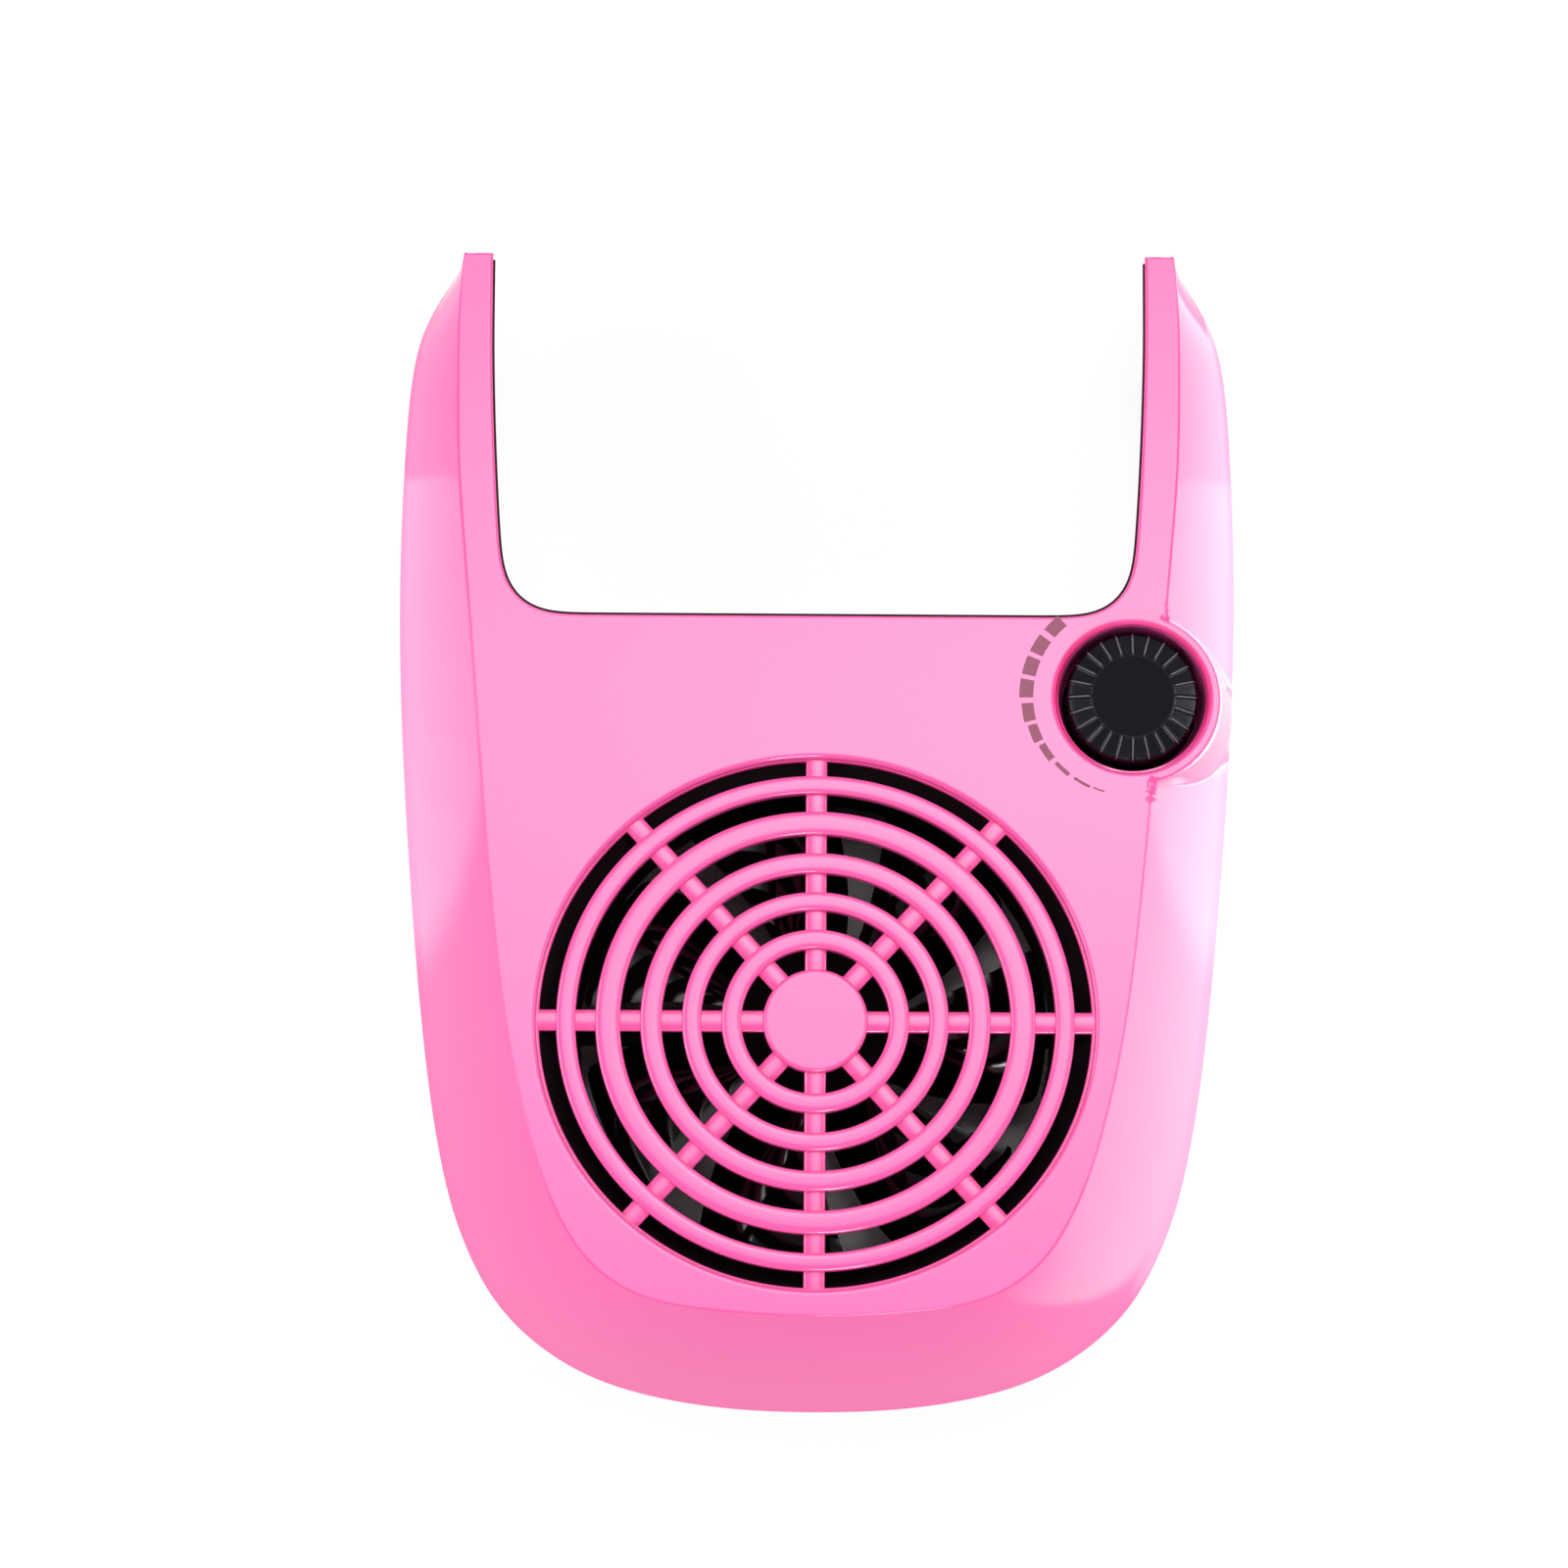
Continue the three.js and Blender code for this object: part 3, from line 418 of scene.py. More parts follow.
def notch_line():
    """From the right arm's tip round to the left arm's tip, at the height NOTCH_Z."""
    corner = bezier((NOTCH_FLAT, NOTCH_Y), (77.2, NOTCH_Y), (79, 65), 22)
    side = bezier((79, 65), (81.1, 92), (81.6, 122), 30)
    ys = np.linspace(122, REAR_Y, 14)[1:]
    tail = np.column_stack([np.full(len(ys), 81.6), ys])
    flat = np.column_stack([np.linspace(0, NOTCH_FLAT, 32), np.full(32, NOTCH_Y)])
    right = np.vstack([flat, corner[1:], side[1:], tail])
    whole = np.vstack([right[::-1], right[1:] * (-1, 1)])
    for _ in range(12):
        whole[1:-1] = 0.25 * whole[:-2] + 0.5 * whole[1:-1] + 0.25 * whole[2:]
    return whole


NOTCH = notch_line()


def to_material(line):
    """Directions from the points of the notch's line into the material round it."""
    way = tangents(line)
    into = np.column_stack([-way[:, 1], way[:, 0]])
    return -into if into[len(into) // 2][1] > 0 else into


def oval(r, count):
    a = np.linspace(0, 2 * math.pi, count, endpoint=False)
    e = OVAL * r / OPENING_R
    return np.column_stack([r * (1 + e) * np.cos(a), FAN_Y + r * (1 - e) * np.sin(a)])


def circle(cx, cy, r, count):
    a = np.linspace(0, 2 * math.pi, count, endpoint=False)
    return np.column_stack([cx + r * np.cos(a), cy + r * np.sin(a)])


def roll(builder, start, points, outward, normals, radius, steps=5):
    """Rows that carry a surface's edge round a fillet, from its own plane to face outward."""
    rows = [start]
    for k in range(1, steps + 1):
        a = 0.5 * math.pi * k / steps
        rows.append(builder.row(points + radius * math.sin(a) * outward
                                - radius * (1 - math.cos(a)) * normals))
    builder.strips(rows)
    return rows[-1]


def up_normals(points):
    slope = (points[:, 1] - CROWN_Y) / CROWN_RADIUS
    return unit(np.column_stack([np.zeros(len(points)), slope, np.ones(len(points))]))


def inner_height(x, y):
    """Height of the cover's inner skin."""
    x, y = np.atleast_1d(x).astype(float), np.atleast_1d(y).astype(float)
    gap = distance_to(np.column_stack([x, y]), RIM_DENSE)
    return np.minimum(top_height(y) - WALL, RIM_Z + np.clip(gap - 2.6, 0, None) * 1.75)


def grille_opening(b, open_row, open_plan, open_pts):
    """Turned lip, short wall and the flange's recess. Gives the row that meets the inner skin."""
    to_middle = -unit(np.column_stack([open_plan[:, 0], open_plan[:, 1] - FAN_Y]))
    out3 = np.column_stack([to_middle, np.zeros(len(open_plan))])
    turned = roll(b, open_row, open_pts, out3, up_normals(open_pts), OPEN_ROLL, 6)
    at = np.array([b.verts[i] for i in turned])
    low = at.copy()
    low[:, 2] = top_height(at[:, 1]) - 1.85
    under = b.row(low)
    seat_plan = oval(FLANGE_SEAT_R, 180)
    seat = b.row(np.column_stack([seat_plan, top_height(seat_plan[:, 1]) - 1.85]))
    seat_low = b.row(np.column_stack([seat_plan, top_height(seat_plan[:, 1]) - WALL]))
    b.strips([turned, under, seat, seat_low])
    return seat_low


def knob_well(b, well_row, well_plan, well_pts):
    """Turned lip, wall, floor and the shaft's hole. Gives the row that meets the inner skin."""
    to_knob = -unit(well_plan - (KNOB_X, KNOB_Y))
    out3 = np.column_stack([to_knob, np.zeros(len(well_plan))])
    turned = roll(b, well_row, well_pts, out3, up_normals(well_pts), WELL_ROLL, 6)
    levels = [turned]
    for r, z in ((WELL_R - 0.35, 61.5), (WELL_R - 0.9, 58.5), (WELL_R - 1.3, 54), (WELL_R - 1.5, 48.2),
                 (WELL_R - 1.8, WELL_FLOOR + 0.3), (WELL_R - 2.2, WELL_FLOOR), (4.6, WELL_FLOOR),
                 (4.6, WELL_FLOOR - 2), (WELL_R + 1.6, WELL_FLOOR - 2)):
        levels.append(b.level(circle(KNOB_X, KNOB_Y, r, 144), z))
    top_ring = circle(KNOB_X, KNOB_Y, WELL_R + 1.6, 144)
    levels.append(b.row(np.column_stack([
        top_ring, np.maximum(inner_height(top_ring[:, 0], top_ring[:, 1]), WELL_FLOOR - 1.8)])))
    b.strips(levels)
    return levels[-1]


def cover_mesh():
    b = Builder()
    count = len(RIM)

    # The sloping side, its crease and the first millimetres of the top, as one regular grid.
    shares = np.linspace(0, 1, 17)
    beyond = np.array([-0.7, -0.4, -0.22, -0.11, 0, 0.11, 0.22, 0.4, 0.7, 1.1, 1.8, 2.7])
    grid = []
    for k in range(len(shares) + len(beyond)):
        q = shares[k] * (BAND - 1.1) if k < len(shares) else BAND + beyond[k - len(shares)]
        plan = RIM + INWARD * q[:, None]
        z = soft_min(side_height(np.arange(count), q), top_height(plan[:, 1]), CREASE_SOFT)
        if k == 0:
            z = z + RIM_ROLL
        grid.append(np.column_stack([plan, np.maximum(z, RIM_Z + RIM_ROLL)]))
    grid = np.array(grid)
    rows = [b.row(r) for r in grid]
    plan = grid[:, :, :2]
    near = np.hypot(plan[:, :, 0] - KNOB_X, plan[:, :, 1] - KNOB_Y) < 27.2
    boss_hole = []
    for k in range(len(rows) - 1):
        for i in range(count - 1):
            corner = [(k, i), (k, i + 1), (k + 1, i + 1), (k + 1, i)]
            if any(near[c] for c in corner):
                boss_hole.append((k, i))
                continue
            b.faces.append(tuple(rows[a][c] for a, c in corner))

    # Closed boundary of the outer surface: rim, right tip, notch, left tip.
    inner_row = rows[-1]
    tip_y = REAR_Y - END_ROLL
    top_line = NOTCH[(NOTCH[:, 1] < tip_y - 0.5)]
    z_top = top_height(top_line[:, 1])
    edge = top_line.copy()
    edge[:, 0] *= 1 + NOTCH_DRAFT * (NOTCH_Z - z_top)
    into = to_material(edge)
    notch_plan = edge + into * NOTCH_ROLL
    end_x = notch_plan[0][0]
    notch_plan = np.vstack([[end_x, tip_y], notch_plan, [-end_x, tip_y]])
    into = np.vstack([into[:1], into, into[-1:]])
    notch_pts = np.column_stack([notch_plan, top_height(notch_plan[:, 1])])
    notch_row = b.row(notch_pts)
    last_x = grid[-1, -1, 0]
    bridge_x = np.linspace(last_x, end_x, 5)[1:-1]
    bridge_z = top_height(tip_y)
    right_bridge = b.row([(x, tip_y, bridge_z) for x in bridge_x])
    left_bridge = b.row([(-x, tip_y, bridge_z) for x in bridge_x[::-1]])

    # The top, between the grid's last row and the notch, the grille opening and the knob's well.
    open_plan = oval(OPENING_R + OPEN_ROLL, 180)
    open_pts = np.column_stack([open_plan, top_height(open_plan[:, 1])])
    open_row = b.row(open_pts)
    well_plan = circle(KNOB_X, KNOB_Y, WELL_R + WELL_ROLL, 144)
    well_pts = np.column_stack([well_plan, top_height(well_plan[:, 1])])
    well_row = b.row(well_pts)
    # Where the boss leaves the grid, one ragged loop joins both regions.
    hole_edges = {}
    for k, i in boss_hole:
        corner = [(k, i), (k, i + 1), (k + 1, i + 1), (k + 1, i)]
        for p, q in zip(corner, corner[1:] + corner[:1]):
            if (q, p) in hole_edges:
                del hole_edges[(q, p)]
            else:
                hole_edges[(p, q)] = True
    follow = {p: q for p, q in hole_edges}
    top_k = len(rows) - 1
    hole_cols = [i for k, i in boss_hole if k == top_k - 1]
    first, last = min(hole_cols), max(hole_cols) + 1
    ragged = [(top_k, first)]
    # Walk the hole's edge from one end of the missing stretch to the other, below the last row.
    backward = {q: p for p, q in hole_edges}
    use = backward if backward[(top_k, first)][0] != top_k else follow
    here = use[(top_k, first)]
    while here != (top_k, last):
        ragged.append(here)
        here = use[here]
    ragged.append((top_k, last))
    ragged_row = [rows[k][i] for k, i in ragged]
    merged = inner_row[:first] + ragged_row + inner_row[last + 1:]
    outer_loop = merged + right_bridge + notch_row + left_bridge

    crease_points = []
    rings = [circle(KNOB_X, KNOB_Y, r, 180) for r in np.arange(20.9, 26.8, 0.3)]
    ring_points = np.vstack(rings)
    shapes = np.array([b.verts[i][:2] for i in outer_loop])
    dense = densify(shapes, 0.5)
    xs, ys = np.meshgrid(np.arange(-100, 100, 3.0), np.arange(-130, 150, 3.0 * math.sqrt(0.75)))
    xs = xs + 1.5 * (np.arange(xs.shape[0])[:, None] % 2)
    field = np.column_stack([xs.ravel(), ys.ravel()])
    field = field[inside(field, shapes)]
    gap_boss = np.hypot(field[:, 0] - KNOB_X, field[:, 1] - KNOB_Y)
    field = field[(gap_boss > 28.4)]
    field = field[distance_to(field, dense) > 1.7]
    open_reach = np.hypot(field[:, 0] / (1 + OVAL), (field[:, 1] - FAN_Y) / (1 - OVAL))
    field = field[open_reach > OPENING_R + OPEN_ROLL + 2.2]
    supports = [oval(OPENING_R + OPEN_ROLL + d, 180) for d in (0.5, 1.3)]
    line = edge + into[1:-1] * (NOTCH_ROLL + 0.5)
    line = line[line[:, 1] < tip_y - 1]
    supports.append(line)
    ring_keep = inside(ring_points, shapes)
    ring_keep &= distance_to(ring_points, dense) > 0.25
    ring_points = ring_points[ring_keep]
    along = slice(max(first - 2, 0), last + 3)
    for off in (-0.7, -0.4, -0.22, -0.11, 0, 0.11, 0.22, 0.4, 0.7):
        line = RIM[along] + INWARD[along] * (BAND[along] + off)[:, None]
        reach = np.hypot(line[:, 0] - KNOB_X, line[:, 1] - KNOB_Y)
        crease_line = line[(reach > 23.2) & (reach < 29)]
        crease_line = crease_line[inside(crease_line, shapes) & (distance_to(crease_line, dense) > 0.06)]
        crease_points.append(crease_line)
    extra = np.vstack(supports)
    keep = inside(extra, shapes) & (distance_to(extra, dense) > 0.25)
    keep &= np.hypot(extra[:, 0] - KNOB_X, extra[:, 1] - KNOB_Y) > 27.5
    extra = extra[keep]
    crease_points = np.vstack(crease_points)
    ring_points = ring_points[distance_to(ring_points, densify(crease_points, 0.2)) > 0.12]
    inner = np.vstack([field, extra, ring_points, crease_points])

    def height(x, y):
        z = top_height(y)
        close = np.hypot(x - KNOB_X, y - KNOB_Y) < 30
        if close.any():
            z = z.copy()
            z[close] = cover_height(x[close], y[close])
        return z

    b.patch([outer_loop, open_row, well_row], inner, height)

    # Turned edges: the closed outer boundary, then walls down to the rim's level.
    side_left = [r[0] for r in rows]
    side_right = [r[-1] for r in rows]
    loop, out, norm = [], [], []
    nrm = grid_normals(grid)

    def take(index, outward, normal):
        loop.append(index)
        out.append(outward)
        norm.append(normal)

    for i in range(count):
        take(rows[0][i], (0, 0, -1) if 0 < i < count - 1 else (0, 1, -1), nrm[0][i])
    for k in range(1, len(rows)):
        take(side_right[k], (0, 1, 0), nrm[k][-1])
    for i in right_bridge:
        take(i, (0, 1, 0), (0, 0, 1))
    tilt = up_normals(notch_pts)
    for n, i in enumerate(notch_row):
        t = np.array([-into[n][0], -into[n][1], 0.0])
        if n in (0, len(notch_row) - 1):
            t = t + np.array([0, 1.0, 0])
        take(i, tuple(t), tuple(tilt[n]))
    for i in left_bridge:
        take(i, (0, 1, 0), (0, 0, 1))
    for k in range(len(rows) - 1, 0, -1):
        take(side_left[k], (0, 1, 0), nrm[k][0])
    pts = np.array([b.verts[i] for i in loop])
    out, norm = np.array(out, float), np.array(norm, float)
    size = np.full(len(loop), END_ROLL)
    size[:count] = RIM_ROLL
    size[0] = size[count - 1] = END_ROLL
    prev = loop
    for k in range(1, 6):
        a = 0.5 * math.pi * k / 5
        moved = pts + (size * math.sin(a))[:, None] * out - (size * (1 - math.cos(a)))[:, None] * norm
        moved[:, 2] = np.maximum(moved[:, 2], RIM_Z)
        row = b.row(moved)
        b.strip(prev, row)
        prev = row
    rolled = np.array([b.verts[i] for i in prev])
    # Walls down to the rim's level. The notch's walls lean apart.
    wall_rows = [prev]
    for share in (0.08, 0.3, 0.65, 1.0):
        down = rolled.copy()
        down[:, 2] = rolled[:, 2] + (RIM_Z - rolled[:, 2]) * share
        first_n = count + (len(rows) - 1) + len(right_bridge)
        for n in range(len(notch_row)):
            j = first_n + n
            ratio = (1 + NOTCH_DRAFT * (NOTCH_Z - down[j, 2])) / (
                1 + NOTCH_DRAFT * (NOTCH_Z - rolled[j, 2]))
            down[j, 0] = rolled[j, 0] * ratio
        down[:count] = rolled[:count]
        wall_rows.append(down)
    indices = [prev]
    for down in wall_rows[1:]:
        row = list(prev[:count]) + b.row(down[count:])
        a = indices[-1]
        n = len(row)
        for i in range(n):
            j = (i + 1) % n
            quad = [a[i], a[j], row[j], row[i]]
            quad = [v for m, v in enumerate(quad) if v not in quad[:m]]
            if len(quad) > 2:
                b.faces.append(tuple(quad))
        indices.append(row)
    foot = indices[-1]
    foot_pts = np.array([b.verts[i] for i in foot])

    # The underside: a level edge as wide as the wall, then the inner skin.
    loop2 = foot_pts[:, :2]
    lean = np.zeros_like(loop2)
    lean[:count] = INWARD
    lean[0] = unit(np.array([1.0, -1.0])) * 1.2
    lean[count - 1] = unit(np.array([-1.0, -1.0])) * 1.2
    n0 = count
    lean[n0:n0 + len(rows) - 1 + len(right_bridge)] = (0, -1)
    first_n = n0 + len(rows) - 1 + len(right_bridge)
    lean[first_n:first_n + len(notch_row)] = into
    lean[first_n] = into[0] + (0, -1)
    lean[first_n + len(notch_row) - 1] = into[-1] + (0, -1)
    lean[first_n + len(notch_row):] = (0, -1)
    limits = loop2 + lean * WALL
    limits[n0:first_n, 0] = np.clip(limits[n0:first_n, 0], limits[first_n, 0], limits[n0 - 1, 0])
    tail_n = first_n + len(notch_row)
    limits[tail_n:, 0] = np.clip(limits[tail_n:, 0], limits[0, 0], limits[tail_n - 1, 0])
    lip = b.level(limits, RIM_Z)
    b.strip(foot, lip)

    skin_pts = np.column_stack([limits, inner_height(limits[:, 0], limits[:, 1])])
    skin = b.row(skin_pts)
    b.strip(lip, skin)

    seat_low = grille_opening(b, open_row, open_plan, open_pts)
    well_top = knob_well(b, well_row, well_plan, well_pts)
    xs, ys = np.meshgrid(np.arange(-100, 100, 6.0), np.arange(-142, 144, 6.0))
    field = np.column_stack([xs.ravel(), ys.ravel()])
    field = field[inside(field, limits)]
    field = field[distance_to(field, densify(limits, 1.0)) > 2.5]
    reach = np.hypot(field[:, 0] / (1 + OVAL), (field[:, 1] - FAN_Y) / (1 - OVAL))
    field = field[reach > FLANGE_SEAT_R + 3]
    field = field[np.hypot(field[:, 0] - KNOB_X, field[:, 1] - KNOB_Y) > WELL_R + 4]
    b.patch([skin, seat_low, well_top], field, inner_height)
    return b


def densify(polygon, step):
    out = []
    for a, c in zip(polygon, np.roll(polygon, -1, axis=0)):
        n = max(1, int(math.ceil(np.linalg.norm(c - a) / step)))
        out.append(a + (c - a) * (np.arange(n) / n)[:, None])
    return np.vstack(out)


RIM_DENSE = RIM[::2]


def grid_normals(grid):
    across = np.gradient(grid, axis=0)
    along = np.gradient(grid, axis=1)
    n = unit(np.cross(across, along))
    return np.where(n[..., 2:3] < 0, -n, n)


cover = cover_mesh()
piece("cover_shell", cover.verts, cover.faces, "cover_pink", replaces=["top_cover"], sharp=50)

# ---- Grille ---------------------------------------------------------------------------------

RINGS = [(18.0, 22.8), (27.7, 32.3), (37.2, 42.3), (47.1, 53.0), (57.7, 62.3)]
HUB_R, FLANGE_R = 12.8, 70.3
SPOKE_WIDTH, RING_TOP, SPOKE_TOP, GRILLE_DEPTH = 5.2, 0.2, 2.0, 4.7
SPOKE_ANGLES = (0, 47.5, 90, 132.5)


def revolve(b, profile, count, spread=None, closed=True):
    """Turns an outline of (radius, height) pairs round the vertical axis."""
    rows = []
    a = np.linspace(0, 2 * math.pi, count, endpoint=False)
    for r, z in profile:
        if spread:
            x, y = spread(r, a)
        else:
            x, y = r * np.cos(a), r * np.sin(a)
        rows.append(b.row(np.column_stack([x, y, np.full(count, z)])))
    b.strips(rows)
    if closed:
        b.strip(rows[-1], rows[0])
    else:
        b.caps(rows)
    return rows


def ovals(r, a):
    e = OVAL * r / OPENING_R
    return r * (1 + e) * np.cos(a), FAN_Y + r * (1 - e) * np.sin(a)


def mesh_of(b):
    mesh = bpy.data.meshes.new("part")
    mesh.from_pydata((np.asarray(b.verts, float) * MM).tolist(), [], [list(map(int, f)) for f in b.faces])
    bm = bmesh.new()
    bm.from_mesh(mesh)
    bmesh.ops.recalc_face_normals(bm, faces=bm.faces)
    bm.to_mesh(mesh)
    bm.free()
    return mesh


def combined(base, steps):
    """base joined with or cut by other solids, as (operation, builder) pairs."""
    holder = bpy.data.objects.new("holder", mesh_of(base))
    bpy.context.scene.collection.objects.link(holder)
    tools = []
    for operation, tool in steps:
        other = bpy.data.objects.new("tool", mesh_of(tool))
        bpy.context.scene.collection.objects.link(other)
        modifier = holder.modifiers.new("join", "BOOLEAN")
        modifier.operation = operation
        modifier.solver = "EXACT"
        modifier.object = other
        tools.append(other)
    bpy.context.view_layer.update()
    done = holder.evaluated_get(bpy.context.evaluated_depsgraph_get())
    mesh = bpy.data.meshes.new_from_object(done)
    for thing in [holder] + tools:
        bpy.data.objects.remove(thing)
    return mesh


def arc(cx, cz, rx, rz, start, end, count):
    return [(cx + rx * math.cos(math.radians(t)), cz + rz * math.sin(math.radians(t)))
            for t in np.linspace(start, end, count)]


def grille():
    b = Builder()
    for inner, outer in RINGS:
        mid, half = (inner + outer) / 2, (outer - inner) / 2
        crown = [(mid - half * math.copysign(abs(math.cos(t)) ** 0.62, math.cos(t)),
                  -RING_TOP - 0.95 + 0.95 * math.sin(t) ** 0.85) for t in np.linspace(0, math.pi, 19)]
        profile = [(inner + 0.3, -GRILLE_DEPTH), (inner, -GRILLE_DEPTH + 0.3)] + crown
        profile += [(outer, -GRILLE_DEPTH + 0.3), (outer - 0.3, -GRILLE_DEPTH)]
        revolve(b, profile, 192 if outer > 40 else 144, ovals)
    edge = arc(HUB_R - 1.0, -RING_TOP - 1.0, 1.0, 1.0, 90, 0, 7)
    hub = [(0.4, -RING_TOP), (4, -RING_TOP), (8, -RING_TOP), (11, -RING_TOP)] + edge
    hub += [(HUB_R, -GRILLE_DEPTH + 0.3), (HUB_R - 0.3, -GRILLE_DEPTH), (0.4, -GRILLE_DEPTH)]
    revolve(b, hub, 96, ovals, closed=False)
    flange = [(OPENING_R - 0.6, -SPOKE_TOP - 0.4), (OPENING_R - 0.3, -SPOKE_TOP - 0.1),
              (FLANGE_R, -SPOKE_TOP - 0.1), (FLANGE_R, -GRILLE_DEPTH),
              (OPENING_R - 0.6, -GRILLE_DEPTH)]
    revolve(b, flange, 192, ovals)
    steps = []
    for degrees in SPOKE_ANGLES:
        bar = Builder()
        half = SPOKE_WIDTH / 2
        section = [(-half + 0.3, -GRILLE_DEPTH + 0.15), (-half, -GRILLE_DEPTH + 0.4)]
        section += arc(0, -SPOKE_TOP - 0.8, half, 0.8, 180, 0, 13)
        section += [(half, -GRILLE_DEPTH + 0.4), (half - 0.3, -GRILLE_DEPTH + 0.15)]
        a = math.radians(degrees)
        rows = []
        for along in (-68.5, 68.5):
            rows.append(bar.row([(along * math.cos(a) - across * math.sin(a),
                                  FAN_Y + along * math.sin(a) + across * math.cos(a), z)
                                 for across, z in section]))
        bar.strips(rows)
        bar.caps(rows)
        steps.append(("UNION", bar))
    mesh = combined(b, steps)
    for v in mesh.vertices:
        v.co.z += top_height(v.co.y / MM) * MM
    return mesh


finish_piece("grille_moulding", grille(), "grille_pink", "housing", ["intake_grille"], 32, True, None)

# ---- Knob -----------------------------------------------------------------------------------

KNOB_R, KNOB_TOP, KNOB_LOW, KNOB_CONE, RIBS = 16.5, 64.0, 48.8, 0.42, 24
RIB_HEIGHT, FLUTE_DEPTH = 0.62, 0.55


def knob():
    b = Builder()
    count = RIBS * 20
    a = np.linspace(0, 2 * math.pi, count, endpoint=False)
    phase = (a * RIBS / (2 * math.pi)) % 1.0
    away = np.minimum(phase, 1 - phase) * 2 * math.pi / RIBS
    profile = [(0.3, -0.12), (3, -0.1), (6, -0.04), (0.55 * KNOB_R, 0), (0.585 * KNOB_R, -0.03),
               (0.61 * KNOB_R, -0.16), (0.635 * KNOB_R, -0.4), (0.67 * KNOB_R, -0.62)]
    profile += [(r * KNOB_R, -0.62 - (r - 0.67) * KNOB_R * KNOB_CONE) for r in
                (0.72, 0.77, 0.82, 0.87, 0.91)]
    r0, z0 = 0.945 * KNOB_R, -0.62 - 0.275 * KNOB_R * KNOB_CONE
    profile += [(r0, z0 - 0.05), (0.972 * KNOB_R, z0 - 0.35), (0.99 * KNOB_R, z0 - 0.9),
                (KNOB_R, z0 - 1.8), (KNOB_R + 0.04, -8), (KNOB_R + 0.08, -13.2)]
    rows = []
    for r, z in profile:
        rib = np.exp(-(away * r / 0.3) ** 2)
        share = np.clip((r - 0.60 * KNOB_R) / (0.07 * KNOB_R), 0, 1)
        lift = RIB_HEIGHT * share * rib if z > z0 - 0.6 else 0 * rib
        flute = FLUTE_DEPTH * (1 - rib) if z < z0 - 0.2 else 0 * rib
        rows.append(b.row(np.column_stack([KNOB_X + (r - flute) * np.cos(a),
                                           KNOB_Y + (r - flute) * np.sin(a),
                                           KNOB_TOP + z + lift - 0.02])))
    low = KNOB_LOW
    for r, z in ((KNOB_R + 0.15, low + 1.75), (KNOB_R + 0.25, low + 1.6), (KNOB_R + 0.3, low + 1.3),
                 (KNOB_R + 0.3, low + 0.2), (KNOB_R + 0.1, low), (8.2, low), (8, low + 0.2),
                 (8, 51.4), (3.3, 51.4), (3.3, 60)):
        rows.append(b.row(np.column_stack([KNOB_X + r * np.cos(a), KNOB_Y + r * np.sin(a),
                                           np.full(count, z)])))
    b.strips(rows)
    b.caps(rows)
    return b


made = knob()
piece("knob_ribbed", made.verts, made.faces, "knob_black", body="knob", replaces=["speed_knob"],
      sharp=60)


def distance_from_axis(nodes, links, place, x, y):
    """Shader nodes that give the distance from an upright axis."""
    shift = add_node(nodes, "VectorMath", "SUBTRACT")
    shift.inputs[1].default_value = (x * MM, y * MM, 0)
    flat = add_node(nodes, "VectorMath", "MULTIPLY")
    flat.inputs[1].default_value = (1, 1, 0)
    far = add_node(nodes, "VectorMath", "LENGTH")
    links.new(place.outputs["Object"], shift.inputs[0])
    links.new(shift.outputs[0], flat.inputs[0])
    links.new(flat.outputs[0], far.inputs[0])
    return far.outputs["Value"]


def matte_inside(name, x, y, radius, gloss):
    """Makes a material matte within a radius of an upright axis."""
    nodes, links = MATERIALS[name].node_tree.nodes, MATERIALS[name].node_tree.links
    shader = nodes["Principled BSDF"]
    place = nodes.new("ShaderNodeTexCoord")
    edge = add_node(nodes, "MapRange", From_Min=radius * MM, From_Max=(radius + 0.4) * MM, To_Min=1.0,
                    To_Max=gloss)
    links.new(distance_from_axis(nodes, links, place, x, y), edge.inputs["Value"])
    links.new(edge.outputs["Result"], shader.inputs["Roughness"])


def painted_crest_glints(name, x, y, slope, low, high, colour):
    """Paints a highlight: a lighter base colour on what stands above a cone round an upright axis, such
    as the crests of a knob's ribs, in place of the glints that light would give there.
    """
    nodes, links = MATERIALS[name].node_tree.nodes, MATERIALS[name].node_tree.links
    shader = nodes["Principled BSDF"]
    place = nodes.new("ShaderNodeTexCoord")
    apart = nodes.new("ShaderNodeSeparateXYZ")
    rise = add_node(nodes, "Math", "MULTIPLY_ADD")
    rise.inputs[1].default_value = slope
    edge = add_node(nodes, "MapRange", From_Min=low * MM, From_Max=high * MM)
    blend = nodes.new("ShaderNodeMix")
    blend.data_type = "RGBA"
    blend.inputs["B"].default_value = colour
    links.new(place.outputs["Object"], apart.inputs["Vector"])
    links.new(distance_from_axis(nodes, links, place, x, y), rise.inputs[0])
    links.new(apart.outputs["Z"], rise.inputs[2])
    links.new(rise.outputs[0], edge.inputs["Value"])
    links.new(edge.outputs["Result"], blend.inputs["Factor"])
    links.new(shader.inputs["Base Color"].links[0].from_socket, blend.inputs["A"])
    links.new(blend.outputs["Result"], shader.inputs["Base Color"])


# The cone that the ribs stand on, carried up to the knob's axis.
cone_apex = KNOB_TOP - 0.64 + 0.67 * KNOB_R * KNOB_CONE
matte_inside("knob_black", KNOB_X, KNOB_Y, 0.6 * KNOB_R, 0.24)
# The ribs' crests get a painted glint: their base colour is lightened where they stand above the cone, in
# place of light caught on them.
painted_crest_glints("knob_black", KNOB_X, KNOB_Y, KNOB_CONE, cone_apex + 0.3, cone_apex + 0.5,
            srgb(112, 112, 120))
matte_inside("fan_black", 0, FAN_Y, 20.2, 0.06)

# ---- Printed scale --------------------------------------------------------------------------

MARKS = [(136.0, 3.4), (149.6, 3.5), (162.4, 3.5), (175.0, 3.5), (188.3, 3.0), (200.7, 2.5),
         (213.1, 1.9), (226.2, 1.1), (239.7, 0.75), (250.0, 0.4)]

